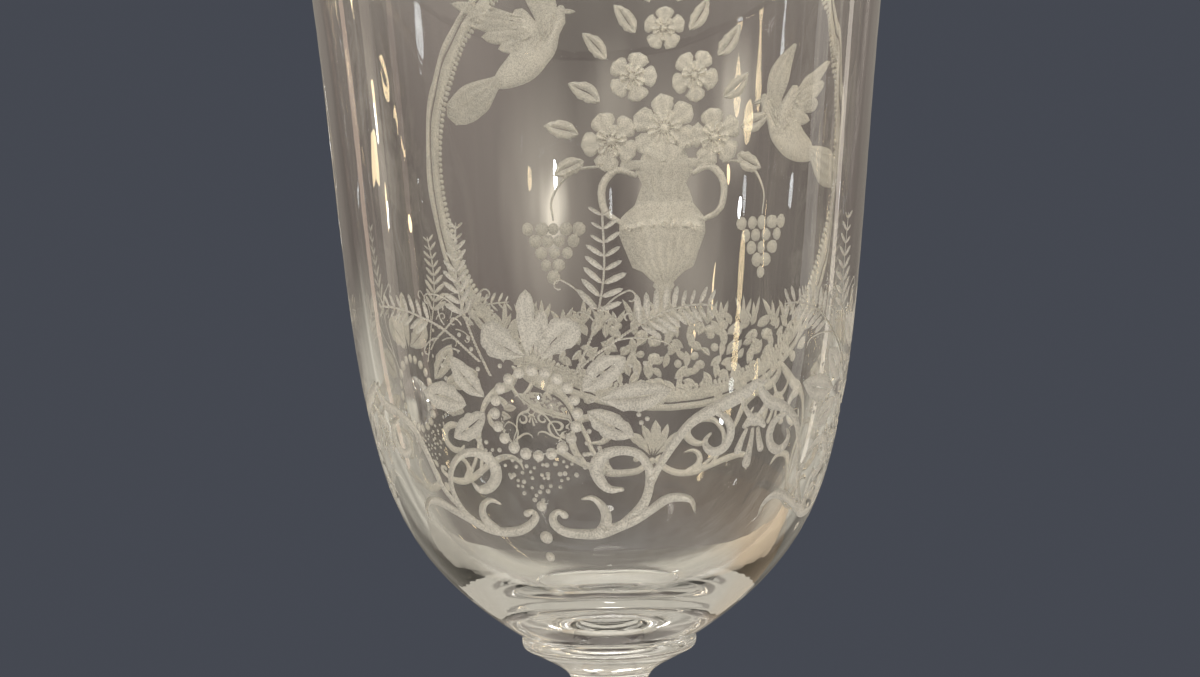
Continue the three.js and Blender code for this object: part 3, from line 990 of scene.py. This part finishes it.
def engraveMound(sheet, middle, ground, chance):
    s = moundSizes
    for row in range(s["rows"]):
        height = ground + s["top"] - row * s["rowStep"]
        reach = s["reach"] * math.sqrt(max(0.05, 1 - ((row + 0.4) / 8.6) ** 2))
        for across in np.arange(-reach, reach, s["step"]):
            base = (across + chance.uniform(-0.7, 0.7), height + chance.uniform(-0.9, 0.5))
            if chance.random() < s["leafShare"]:
                turn, length = math.radians(chance.uniform(15, 165)), chance.uniform(2.6, 4.2)
                tip = (base[0] + length * math.cos(turn), base[1] + length * math.sin(turn))
                shape = leaf(base, tip, length * 0.5, chance.uniform(0.12, 0.36), 0.0, 0.2, 0.5, 0.05, 5, 0.7)
            else:
                size = chance.uniform(0.9, 1.5)
                shape = roundCut(base, size, size * 0.85, chance.uniform(0.2, 0.5), 8, 2)
            sheet.add(middle, shape)
    low = ground + s["tuftLow"]
    for tuft in range(s["tufts"]):
        share = tuft + chance.uniform(0.2, 0.8)
        across = -s["tuftReach"] + 2 * s["tuftReach"] * share / s["tufts"]
        for blade in range(s["blades"]):
            tip = (across + 2.2 * (blade - 1) + chance.uniform(-0.5, 0.5), low + chance.uniform(3.0, 5.8))
            shape = leaf((across, low), tip, s["bladeWidth"], s["bladeDepth"], 0.0, 0.25, 0.5, 0.02, 5)
            sheet.add(middle, shape)


# Heights here are above the ground of the picture. Roses have a place, radius and count of petals, sprigs a
# place, heading in degrees and length, and doves a place, facing, tilt and size.
pictureSizes = {
    "seed": 41, "groundDrop": 35.5, "urnFoot": 1.6, "roseTurn": 0.4, "sprigWidth": 3.8, "vineDepth": 0.25,
    "grapes": (24.0, 20.6),
    "roses": ((0, 40.8, 7.4, 6), (-11.6, 38.4, 6.2, 5), (11.8, 38.6, 6.4, 5), (-6.8, 51.4, 5.6, 5),
              (7.2, 51.8, 5.4, 5), (0.4, 61.6, 4.8, 5)),
    "sprigs": ((-16.8, 34.6, 205, 7.5), (-17.6, 40.0, 165, 8), (-13.4, 46.4, 145, 8), (-12.2, 55.0, 130, 8),
               (-5.4, 60.8, 125, 8), (-2.6, 67.0, 105, 7.5), (3.8, 67.2, 72, 7.5), (6.6, 61.0, 50, 8),
               (12.8, 55.6, 45, 8), (14.2, 46.8, 30, 8), (18.6, 40.2, 12, 8), (17.4, 34.6, -24, 7.5)),
    "vine": [(13.6, 33.5, 0.5), (20.0, 32.4, 0.7), (24.5, 27.0, 0.6), (24.2, 22.4, 0.4)],
    "doves": ((-32.5, 36.0, 1, 4, 1.1), (30.0, 55.0, -1, 14, 1.15))}


def engravePicture(sheet, middle):
    s = pictureSizes
    chance = random.Random(s["seed"])
    ground = medallionSizes["height"] - s["groundDrop"]
    engraveMound(sheet, middle, ground, chance)
    engraveUrn(sheet, middle, (0.0, ground + s["urnFoot"]))
    for number, (across, up, radius, petals) in enumerate(s["roses"]):
        wildRose(sheet, middle, (across, ground + up), radius, petals, s["roseTurn"] + number)
    for across, up, heading, length in s["sprigs"]:
        turn = math.radians(heading)
        tip = (across + length * math.cos(turn), ground + up + length * math.sin(turn))
        sheet.add(middle, leaf((across, ground + up), tip, s["sprigWidth"], 0.4, 0.13, 0.3))
    for side in (-1, 1):
        vine = [(side * a, ground + b, w) for a, b, w in s["vine"]]
        sheet.add(middle, stroke(vine, s["vineDepth"]))
        grapes(sheet, middle, (side * s["grapes"][0], ground + s["grapes"][1]), chance)
    for across, up, facing, tilt, size in s["doves"]:
        dove(sheet, middle, (across, ground + up), facing, tilt, size)


class FlatMap:  # every cut on the flat wall as one set of points, edges and triangles
    def __init__(self, sheet, s):
        self.turn = 2 * math.pi * s["flatRadius"]
        points, depths, triangles, deepKind, start = [], [], [], [], 0
        for flat, faces, kind in sheet.cuts:
            for lap in (-1, 0, 1):
                across = flat[:, 0] + lap * self.turn
                if across.max() > -self.turn / 2 and across.min() < self.turn / 2:
                    points.append(np.stack([across, flat[:, 1]], -1))
                    depths.append(flat[:, 2])
                    triangles.append(faces + start)
                    deepKind += [kind] * len(faces)
                    start += len(flat)
        self.points = np.concatenate(points)
        self.depths = np.concatenate(depths)
        self.triangles = np.concatenate(triangles)
        self.kinds = np.array(deepKind)
        pairs = np.concatenate([self.triangles[:, corners] for corners in ([0, 1], [1, 2], [2, 0])])
        self.edges = np.unique(np.sort(pairs, axis=1), axis=0)

    def finder(self, kind):
        corners = [(x, y, 0) for x, y in self.points]
        return BVHTree.FromPolygons(corners, self.triangles[self.kinds == kind].tolist())

    # Where the cuts cross an upright line: heights and depths, with plain steps between them.
    def crossings(self, line, s):
        start, end = self.edges[:, 0], self.edges[:, 1]
        gapStart, gapEnd = self.points[start, 0] - line, self.points[end, 0] - line
        hit = gapStart * gapEnd < 0
        share = gapStart[hit] / (gapStart[hit] - gapEnd[hit])
        heights = self.points[start[hit], 1] * (1 - share) + self.points[end[hit], 1] * share
        depths = self.depths[start[hit]] * (1 - share) + self.depths[end[hit]] * share
        found = {}
        for height, depth in sorted(zip(heights, depths)):
            near = next((h for h in reversed(found) if height - h < s["merge"]), height)
            found[near] = max(found.get(near, 0.0), depth)
        climb = int((s["high"] - s["low"]) / s["borderStep"])
        for step in range(climb + 1):
            height = s["low"] + (s["high"] - s["low"]) * step / climb
            if step in (0, climb) or all(abs(height - h) > s["borderClearance"] for h in found):
                found[height] = found.get(height, 0.0)
        return dict(sorted(found.items()))


class FlatMesh:  # the triangles of the whole flat wall, whose points are shared between the spans
    def __init__(self):
        self.points = []
        self.depths = []
        self.names = {}
        self.triangles = []

    def corner(self, name, place, depth):
        if name not in self.names:
            self.names[name] = len(self.points)
            self.points.append(place)
            self.depths.append(depth)
        return self.names[name]


# Triangulates one span of the flat wall along the outline of every cut. A cut that runs over the side
# of the span is split at the points that both neighbours share.
def triangulateSpan(flatMap, mesh, span, borders, s):
    left, right = (flatMap.turn * (share / s["spans"] - 0.5) for share in (span, span + 1))
    lines = {left: (span, borders[span]), right: ((span + 1) % s["spans"], borders[span + 1])}
    names, places, depths, edges, index = [], [], [], [], {}

    def point(name, place, depth):
        if name not in index:
            index[name] = len(names)
            names.append(name)
            places.append(place)
            depths.append(depth)
        return index[name]

    def borderPoint(line, height):
        number, heights = lines[line]
        nearest = min(heights, key=lambda h: abs(h - height))
        return point(("border", number, round(nearest, 6)), (line, nearest), heights[nearest])

    inside = (flatMap.points[:, 0] > left) & (flatMap.points[:, 0] < right)
    for a, b in flatMap.edges[inside[flatMap.edges].any(axis=1)]:
        ends = []
        for end, other in ((a, b), (b, a)):
            if inside[end]:
                ends.append(point(("cut", int(end)), tuple(flatMap.points[end]), flatMap.depths[end]))
            else:
                line = left if flatMap.points[end, 0] <= left else right
                share = (line - flatMap.points[end, 0]) / (flatMap.points[other, 0] - flatMap.points[end, 0])
                height = flatMap.points[end, 1] + share * (flatMap.points[other, 1] - flatMap.points[end, 1])
                ends.append(borderPoint(line, height))
        edges.append(tuple(ends))
    for line, (number, heights) in lines.items():
        climb = [borderPoint(line, height) for height in heights]
        edges += list(zip(climb, climb[1:]))
    around = s["segments"] // s["spans"]
    for height in (s["low"], s["high"]):
        row = [borderPoint(left, height)]
        for step in range(1, around):
            place = (left + (right - left) * step / around, height)
            row.append(point(("ring", span * around + step, height), place, 0.0))
        row.append(borderPoint(right, height))
        edges += list(zip(row, row[1:]))
    taken = {(math.floor(x / s["clearance"]), math.floor(y / s["clearance"])) for x, y in places}
    rows, columns = int((s["high"] - s["low"]) / s["fill"]), int((right - left) / s["fill"])
    for row in range(1, rows):
        for column in range(columns):
            x = left + (column + 0.25 + 0.5 * (row % 2)) * (right - left) / columns
            y = s["low"] + row * (s["high"] - s["low"]) / rows
            cell = (math.floor(x / s["clearance"]), math.floor(y / s["clearance"]))
            if not any((cell[0] + i, cell[1] + j) in taken for i in (-1, 0, 1) for j in (-1, 0, 1)):
                point(("fill", span, row, column), (x, y), 0.0)
    flatPoints, _, triangles, sources, _, _ = delaunay_2d_cdt(
        [Vector(place) for place in places], edges, [], 0, s["merge"] / 2)
    corners = []
    for number, found in enumerate(sources):
        first = min(found, key=lambda i: (names[i][0] != "border", i), default=None)
        name = names[first] if found else ("crossing", span, number)
        place = places[first] if found else tuple(flatPoints[number])
        corners.append(mesh.corner(name, place, max((depths[i] for i in found), default=-1.0)))
    for triangle in triangles:
        middle = sum(flatPoints[corner].x for corner in triangle) / 3
        named = tuple(corners[corner] for corner in triangle)
        if left < middle < right and len(set(named)) == 3:
            mesh.triangles.append(named)


# Gives a depth to the points that the outlines made where they cross, and levels rims inside a larger cut.
def settleDepths(mesh, kinds, s):
    around, onWall = {}, set()
    for triangle, kind in zip(mesh.triangles, kinds):
        for corner in triangle:
            around.setdefault(corner, set()).update(triangle)
            if kind == "wall":
                onWall.add(corner)
    deep = mesh.depths
    for corner in onWall:
        deep[corner] = 0.0
    shallow = [corner for corner in around if corner not in onWall and deep[corner] < s["shallow"]]
    for _ in range(s["levellings"]):
        levelled = {}
        for corner in shallow:
            others = [deep[i] for i in around[corner] if i != corner and deep[i] > s["shallow"]]
            if others:
                levelled[corner] = sum(others) / len(others) * s["rimShare"]
        for corner, depth in levelled.items():
            deep[corner] = depth
    for corner in range(len(deep)):
        deep[corner] = max(deep[corner], 0.0)


def buildWall(sheet, wall, s):
    flatMap, mesh = FlatMap(sheet, s), FlatMesh()
    borders = [flatMap.crossings(flatMap.turn * (span / s["spans"] - 0.5), s) for span in range(s["spans"])]
    borders.append(borders[0])
    for span in range(s["spans"]):
        triangulateSpan(flatMap, mesh, span, borders, s)
    finders = {kind: flatMap.finder(kind) for kind in ("matte", "polished")}
    kinds = []
    for triangle in mesh.triangles:
        spread = [mesh.points[corner][0] for corner in triangle]
        lap = flatMap.turn if max(spread) - min(spread) > flatMap.turn / 2 else 0.0
        middle = Vector((sum(x + (lap if x < 0 else 0.0) for x in spread) / 3,
                         sum(mesh.points[corner][1] for corner in triangle) / 3, 0))
        if middle.x > flatMap.turn / 2:
            middle.x -= flatMap.turn
        inside = (kind for kind, finder in finders.items() if finder.find_nearest(middle, 1e-4)[0])
        kinds.append(next(inside, "wall"))
    settleDepths(mesh, kinds, s)
    flat, depth = np.array(mesh.points), np.array(mesh.depths)
    places = wall.place(flat[:, 0] / s["flatRadius"], flat[:, 1], depth) * mm
    return places, depth, mesh.triangles, [{"wall": 1, "matte": 2, "polished": 3}[kind] for kind in kinds]


print("bowl")
bowlSizes = {
    "lipWidth": 2.0, "lipRise": 0.7, "shoulder": 84.9, "shoulderHeight": 40.4, "shoulderWall": 3.2,
    "rimWall": 2.4, "bottom": 5.5, "shoulderLean": 0.22, "rimLean": 0.36, "lowerAngle": 34.0,
    "lowerFullness": (0.5, 0.3), "insideFullness": (0.53, 0.3), "sideFullness": (0.24, 0.24)}


def bowlOutside(s):
    shoulder = Vector((s["shoulder"] / 2, bowlBottom + s["shoulderHeight"]))
    rim = Vector((width("bowl") / 2, rimTop - s["rimWall"] / 2))
    lip = Vector((collarSizes["seat"] / 2 + s["lipWidth"], bowlBottom + s["lipRise"]))
    lean, flare = (s["shoulderLean"], 1), (s["rimLean"], 1)
    return joinRuns(curveRun(lip, angled(s["lowerAngle"]), shoulder, lean, s["lowerFullness"], 60),
                    curveRun(shoulder, lean, rim, flare, s["sideFullness"], 80))


def bowlInside(s):
    shoulder = Vector((s["shoulder"] / 2 - s["shoulderWall"], bowlBottom + s["shoulderHeight"]))
    rim = Vector((width("bowl") / 2 - s["rimWall"], rimTop - s["rimWall"] / 2))
    inmost = (0, bowlBottom + s["bottom"])
    lean, flare = (s["shoulderLean"], 1), (s["rimLean"], 1)
    return joinRuns(curveRun(inmost, level, shoulder, lean, s["insideFullness"], 40),
                    curveRun(shoulder, lean, rim, flare, s["sideFullness"], 40))


def bowlProfile(s):
    rimHalf = s["rimWall"] / 2
    edge = roundRun((width("bowl") / 2 - rimHalf, rimTop - rimHalf), rimHalf, rimHalf, 0, 180, 12)
    seat = [Vector((0, bowlBottom)), Vector((collarSizes["seat"] / 2, bowlBottom))]
    return joinRuns(seat, bowlOutside(s), edge, bowlInside(s)[::-1])


# Swaps the plain outer wall of the turned bowl for the engraved one.
def joinWall(mesh, wall, places, depths, faces, tags, s):
    shape = bmesh.new()
    shape.from_mesh(mesh)
    tag = shape.faces.layers.int.new("cutKind")
    cutDepth = shape.verts.layers.float.new("cutDepth")
    plain = [face for face in shape.faces if all(
        s["low"] - 0.01 < v.co.z / mm < s["high"] + 0.01
        and math.hypot(v.co.x, v.co.y) / mm > wall.radius(v.co.z / mm) - s["band"] for v in face.verts)]
    bmesh.ops.delete(shape, geom=plain, context="FACES")
    corners = [shape.verts.new(place) for place in places]
    for corner, depth in zip(corners, depths):
        corner[cutDepth] = depth
    for face, kind in zip(faces, tags):
        made = shape.faces.new([corners[i] for i in face])
        made[tag] = kind
        made.smooth = True
        made.material_index = 2 if kind == 2 else 0
    bmesh.ops.remove_doubles(shape, verts=shape.verts, dist=s["weld"])
    for edge in shape.edges:
        kinds = {max(face[tag], 1) for face in edge.link_faces}
        edge.smooth = len(kinds) == 1 and edge.calc_face_angle(0) < math.radians(s["creaseAngle"])
    print("bowl triangles", sum(len(face.verts) - 2 for face in shape.faces))
    print("open edges", sum(1 for edge in shape.edges if len(edge.link_faces) != 2),
          "volume ml", round(shape.calc_volume() * 1e6, 2))
    shape.to_mesh(mesh)
    shape.free()


# The clear wall between the cuts keeps the true normals of the blown bowl.
def keepWallNormals(mesh, wall):
    loops = len(mesh.loops)
    normals = np.zeros(loops * 3)
    mesh.corner_normals.foreach_get("vector", normals)
    normals = normals.reshape(-1, 3)
    owners = np.zeros(loops, int)
    mesh.loops.foreach_get("vertex_index", owners)
    places = np.zeros(len(mesh.vertices) * 3)
    mesh.vertices.foreach_get("co", places)
    places = places.reshape(-1, 3)[owners]
    kinds = np.zeros(len(mesh.polygons), int)
    mesh.attributes["cutKind"].data.foreach_get("value", kinds)
    totals = np.zeros(len(mesh.polygons), int)
    mesh.polygons.foreach_get("loop_total", totals)
    onWall = np.repeat(kinds, totals) == 1
    angle = np.arctan2(places[:, 0], -places[:, 1])
    normals[onWall] = wall.normal(angle, places[:, 2] / mm)[onWall]
    mesh.normals_split_custom_set(normals)


outside = bowlOutside(bowlSizes)
wall = Wall(outside)
wallSizes["low"] = min((p.y for p in outside), key=lambda y: abs(y - wallSizes["low"]))
wallSizes["high"] = min((p.y for p in outside), key=lambda y: abs(y - wallSizes["high"]))
sheet = CutSheet(wall, wallSizes["flatRadius"])
engraveScrolls(sheet)
for number, middle in enumerate(middles["bouquets"]):
    engraveBouquet(sheet, middle, (1, -1, 1)[number], 11 + number)
engravePalmette(sheet, middles["palmette"])
engraveFrame(sheet, middles["medallion"])
engravePicture(sheet, middles["medallion"])
mesh = turnPiece("bowl_glass", bowlProfile(bowlSizes), wallSizes["segments"], clearGlass)
markJoints(mesh, (bowlBottom,))
mesh.materials.append(engravedGlass)
places, depths, faces, tags = buildWall(sheet, wall, wallSizes)
print("wall triangles", len(faces), "cuts", len(sheet.cuts))
joinWall(mesh, wall, places, depths, faces, tags, wallSizes)
keepWallNormals(mesh, wall)
bowl = placeObject("bowl_glass", mesh)
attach(bowl, "root")
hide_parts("bowl")

print("stage, lights and camera")
# What glass shows of the floor is painted: painted light under the foot, a painted pool of light round the
# vase and dark beyond it.
stageSizes = {
    "floorRadius": 0.22, "poolStart": 0.106, "poolEnd": 0.152, "poolSpread": 1.5,
    "underStart": 0.085, "underEnd": 0.12, "warmStart": 0.02, "warmEnd": 0.09, "grain": 90.0,
    "roughness": 0.6, "roughShare": 0.1, "floorColour": (0.62, 0.6, 0.57, 1),
    "underThrough": (0.7, 0.67, 0.6, 1), "leftThrough": (0.48, 0.45, 0.385, 1),
    "rightThrough": (0.66, 0.53, 0.38, 1), "farThrough": (0.078, 0.064, 0.057, 1)}


def makeFloor(s):
    material, tree = newFinish("paleFloor")
    place = tree.add("ShaderNodeTexCoord")["Object"]
    sides = tree.split(tree.vectors("ABSOLUTE", {0: place}))
    warmth = tree.mapped(tree.split(place)["X"], s["warmStart"], s["warmEnd"])
    # painted pool of light round the vase, in the floor's colour for rays in and through the glass
    poolOfPaintedLight = tree.blend(warmth, s["leftThrough"], s["rightThrough"])
    away = tree.mapped(sides["Y"] - sides["X"] * s["poolSpread"], s["poolStart"], s["poolEnd"])
    around = tree.blend(away, poolOfPaintedLight, s["farThrough"])
    pastFoot = tree.mapped(tree.vectors("LENGTH", {0: place}, "Value"), s["underStart"], s["underEnd"])
    # painted light on the floor under the foot
    through = tree.blend(pastFoot, s["underThrough"], around)
    rays = tree.add("ShaderNodeLightPath")
    inGlass = rays["Is Transmission Ray"].above(rays["Is Glossy Ray"])
    roughness = tree.noise(place, s["grain"], 4.0) * s["roughShare"] + s["roughness"]
    colour = tree.blend(inGlass, s["floorColour"], through)
    coat = tree.add("ShaderNodeBsdfPrincipled", {}, {"Base Color": colour, "Roughness": roughness})
    tree.surface(coat["BSDF"])
    bpy.ops.mesh.primitive_circle_add(vertices=128, radius=s["floorRadius"], fill_type="NGON")
    floor = bpy.context.object
    floor.name = "floor"
    floor.data.materials.append(material)


# Soft, plain tones by the height of a ray's heading, from below level to straight up: what lies behind the
# vase and what shows through and in its glass. Low to the sides there is a paler table.
roomSizes = {
    "Is Glossy Ray": (
        (0.0, (0.22, 0.2, 0.17, 1)), (0.3, (0.27, 0.245, 0.21, 1)), (0.76, (0.5, 0.47, 0.4, 1))),
    "Is Transmission Ray": (
        (0.06, (0.078, 0.064, 0.058, 1)), (0.16, (0.098, 0.08, 0.073, 1)), (0.2, (0.118, 0.096, 0.086, 1)),
        (0.31, (0.17, 0.142, 0.126, 1)), (0.36, (0.22, 0.19, 0.165, 1)), (0.46, (0.8, 0.74, 0.63, 1)),
        (0.76, (0.9, 0.85, 0.75, 1)), (0.88, (0.95, 0.93, 0.87, 1))),
    "Is Camera Ray": ((0.0, (0.06, 0.066, 0.083, 1)), (1.0, (0.06, 0.066, 0.083, 1))),
    "lowest": -0.25, "table": (0.5, 0.465, 0.39, 1), "tableTop": 0.03, "tableFull": 0.12,
    "tableStart": 0.22, "tableEnd": 0.36, "soft": (0.42, 0.42, 0.42, 1), "glow": (0.85, 0.76, 0.63, 1),
    "folds": (7, 7, 2), "foldStart": 0.3, "foldEnd": 0.7, "foldDark": 0.66, "foldPale": 1.34}
# soft patches of light: azimuth from straight behind and elevation in degrees, radius, how many times
# taller than wide, and strength
glows = (
    (-2.1, 2.7, 0.05, 2.0, 0.3), (-2.1, 2.5, 0.015, 2.0, 0.95), (3.1, 2.6, 0.05, 2.0, 0.3),
    (2.4, 2.9, 0.014, 2.0, 0.95), (0.5, 5.8, 0.026, 2.0, 0.3), (6.0, 5.6, 0.026, 2.0, 0.5),
    (-13.4, 3.6, 0.04, 2.0, 0.3), (4.8, -0.6, 0.03, 2.0, 0.16), (-78.7, 2.0, 0.1, 4.0, 0.3),
    (-76.0, 2.0, 0.022, 16.0, 0.95), (-84.0, 2.0, 0.018, 16.0, 0.85), (-61.5, 2.0, 0.03, 12.0, 0.85),
    (82.4, 2.0, 0.11, 4.0, 0.36), (78.0, 2.0, 0.024, 16.0, 0.95), (88.0, 2.0, 0.018, 16.0, 0.85),
    (62.1, 2.0, 0.03, 12.0, 0.95))


def glowShare(tree, heading):
    total = 0.0
    for azimuth, elevation, radius, stretch, strength in glows:
        turn, rise = math.radians(azimuth), math.radians(elevation)
        centre = (math.sin(turn) * math.cos(rise), math.cos(turn) * math.cos(rise), math.sin(rise))
        gap = tree.vectors("SUBTRACT", {0: heading, 1: centre})
        squashed = tree.vectors("MULTIPLY", {0: gap, 1: (1, 1, 1 / stretch)})
        reach = tree.vectors("LENGTH", {0: squashed}, "Value")
        total = total + tree.mapped(reach, 0.0, radius, strength, 0.0)
    return total


def makeWorld(s):
    world = bpy.data.worlds.new("softRoom")
    bpy.context.scene.world = world
    world.use_nodes = True
    tree = Tree(world.node_tree)
    rays = tree.add("ShaderNodeLightPath")
    heading = tree.add("ShaderNodeTexCoord")["Generated"]
    up = tree.split(heading)["Z"]
    share = (up - s["lowest"]) / (1.0 - s["lowest"])
    aside = tree.split(tree.vectors("ABSOLUTE", {0: heading}))["X"]
    onTable = (tree.mapped(0.0 - up, s["tableTop"], s["tableFull"])
               * tree.mapped(aside, s["tableStart"], s["tableEnd"]))
    # painted light and shade of cloth folds: the strength of the tones seen through the glass rises and falls
    # with noise
    folded = tree.add("ShaderNodeMapping", {}, {"Vector": heading, "Scale": s["folds"]})["Vector"]
    fold = tree.noise(folded, 1.0, 1.0)
    foldLightAndShade = tree.mapped(fold, s["foldStart"], s["foldEnd"], s["foldDark"], s["foldPale"], "LINEAR")
    surface = tree.add("ShaderNodeBackground", {}, {"Color": s["soft"]})["Background"]
    for ray in ("Is Glossy Ray", "Is Transmission Ray", "Is Camera Ray"):
        colour = tree.add("ShaderNodeValToRGB", {"stops": s[ray]}, {"Fac": share})["Color"]
        strength = 1.0
        if ray != "Is Camera Ray":
            colour = tree.blend(onTable, colour, s["table"])
        if ray == "Is Transmission Ray":
            colour = tree.blend(glowShare(tree, heading), colour, s["glow"])
            strength = foldLightAndShade
        seen = tree.add("ShaderNodeBackground", {}, {"Color": colour, "Strength": strength})["Background"]
        surface = tree.shaders(rays[ray], surface, seen)
    tree.add("ShaderNodeOutputWorld", {}, {"Surface": surface})


# A mirrored lamp only shows in the glass, and a small one through it too. The others light the vase and
# floor, and don't show.
def addLamp(name, place, size, power, colour, mirrored=True):
    lamp = bpy.data.lights.new(name, "AREA")
    small = max(size) < 0.3
    lamp.shape = "ELLIPSE" if small else "RECTANGLE"
    lamp.size, lamp.size_y = size
    lamp.energy = power
    lamp.color = colour
    holder = bpy.data.objects.new(name, lamp)
    bpy.context.scene.collection.objects.link(holder)
    holder.location = place
    holder.rotation_euler = (Vector(lampTarget) - Vector(place)).to_track_quat("-Z", "Y").to_euler()
    holder.visible_camera = False
    holder.visible_transmission = mirrored and small
    holder.visible_glossy = mirrored
    holder.visible_diffuse = not mirrored


lampTarget = (0, 0, 0.15)
glintDistance = 0.65
warm, white = (1.0, 0.78, 0.46), (0.93, 0.97, 1.0)
# small lamps all round that glint in and through the far wall: azimuth from the front in degrees, height,
# width and height of the lamp in metres, brightness and colour
glintLamps = (
    (152, 0.36, 0.05, 0.025, 40, warm), (126, 0.345, 0.06, 0.035, 60, warm),
    (121, 0.32, 0.035, 0.02, 40, warm), (117, 0.302, 0.04, 0.022, 40, warm),
    (107, 0.286, 0.05, 0.024, 60, white), (37, 0.347, 0.03, 0.014, 45, warm),
    (-5, 0.338, 0.02, 0.016, 40, white), (-82, 0.354, 0.06, 0.034, 60, warm),
    (-81, 0.307, 0.03, 0.02, 60, white), (-81, 0.278, 0.05, 0.024, 50, warm),
    (-97, 0.276, 0.04, 0.03, 40, warm), (-115, 0.279, 0.04, 0.02, 60, white),
    (-177.3, 0.206, 0.004, 0.018, 8, white), (-162.7, 0.232, 0.009, 0.034, 1.2, warm),
    (-162.4, 0.225, 0.004, 0.022, 6, white), (-161.6, 0.206, 0.009, 0.03, 1.0, warm),
    (-163.4, 0.182, 0.007, 0.028, 1.2, warm), (-163.7, 0.178, 0.003, 0.016, 5, white),
    (-166.6, 0.176, 0.008, 0.01, 1.6, warm), (172.8, 0.22, 0.0025, 0.014, 1.1, warm),
    (173.3, 0.233, 0.002, 0.012, 1.1, warm), (172.3, 0.203, 0.0025, 0.011, 1.1, warm),
    (171.5, 0.185, 0.0025, 0.012, 6, white), (174.4, 0.122, 0.0022, 0.024, 0.9, warm),
    (173.0, 0.142, 0.002, 0.03, 0.9, warm), (172.2, 0.062, 0.002, 0.012, 3, white))
# place, size, power and colour of the lamps that light the room
roomLamps = {
    "keyLamp": ((-0.7, -1.0, 0.9), (0.7, 0.7), 16, (1, 0.96, 0.9)),
    "fillLamp": ((1.0, -0.8, 0.5), (0.7, 0.7), 8, (1, 0.97, 0.93)),
    "backLamp": ((0.2, 1.2, 0.9), (0.6, 0.6), 4, (1, 0.95, 0.88))}
# and of the boxes that the glass mirrors, tall ones as pale upright bands near the silhouette
mirroredBoxes = {
    "leftBox": ((-0.75, 0.15, 0.15), (0.09, 0.6), 0.21, (1.0, 0.88, 0.72)),
    "leftBackBox": ((-0.7, 0.38, 0.15), (0.05, 0.6), 0.16, (1.0, 0.72, 0.55)),
    "leftFrontBox": ((-0.8, -0.05, 0.15), (0.04, 0.6), 0.09, (1.0, 0.78, 0.66)),
    "rightBox": ((0.75, 0.1, 0.15), (0.1, 0.6), 0.23, (1.0, 0.95, 0.86)),
    "rightBackBox": ((0.68, 0.36, 0.15), (0.05, 0.6), 0.2, (1.0, 0.9, 0.78)),
    "topBox": ((0.0, -0.2, 1.0), (0.11, 0.08), 0.45, (1.0, 0.95, 0.85)),
    "frontTopBox": ((0.05, -0.75, 0.85), (0.12, 0.07), 0.5, (1.0, 0.95, 0.86))}


def lightRoom():
    for name, lamp in roomLamps.items():
        addLamp(name, *lamp, mirrored=False)
    for number, (azimuth, height, wide, tall, bright, colour) in enumerate(glintLamps):
        turn = math.radians(azimuth)
        place = (glintDistance * math.sin(turn), -glintDistance * math.cos(turn), height)
        addLamp(f"glintLamp{number}", place, (wide, tall), bright * math.pi * wide * tall, colour)
    for name, lamp in mirroredBoxes.items():
        addLamp(name, *lamp)


# The camera that took the photo, fitted to the outline of the bowl and the tilt of the collar's ring.
cameraSizes = {"place": (0, -0.320, 0.14274), "pitch": 1.193, "yaw": -0.114, "roll": -1.095,
               "photoWidth": 1200, "focalPixels": 1769.5, "sensorWidth": 36.0, "clipStart": 0.01}


def makeCamera(s):
    data = bpy.data.cameras.new("closeView")
    camera = bpy.data.objects.new("closeView", data)
    bpy.context.scene.collection.objects.link(camera)
    data.sensor_width = s["sensorWidth"]
    data.lens = s["focalPixels"] / s["photoWidth"] * data.sensor_width
    data.clip_start = s["clipStart"]
    pitch, yaw, roll = (math.radians(s[name]) for name in ("pitch", "yaw", "roll"))
    turned = Matrix.Rotation(-yaw, 4, "Z") @ Matrix.Rotation(math.pi / 2 - pitch, 4, "X")
    camera.matrix_world = Matrix.Translation(s["place"]) @ (turned @ Matrix.Rotation(roll, 4, "Z"))
    bpy.context.scene.camera = camera


makeFloor(stageSizes)
makeWorld(roomSizes)
lightRoom()
makeCamera(cameraSizes)
bpy.context.scene.view_settings.view_transform = "Standard"
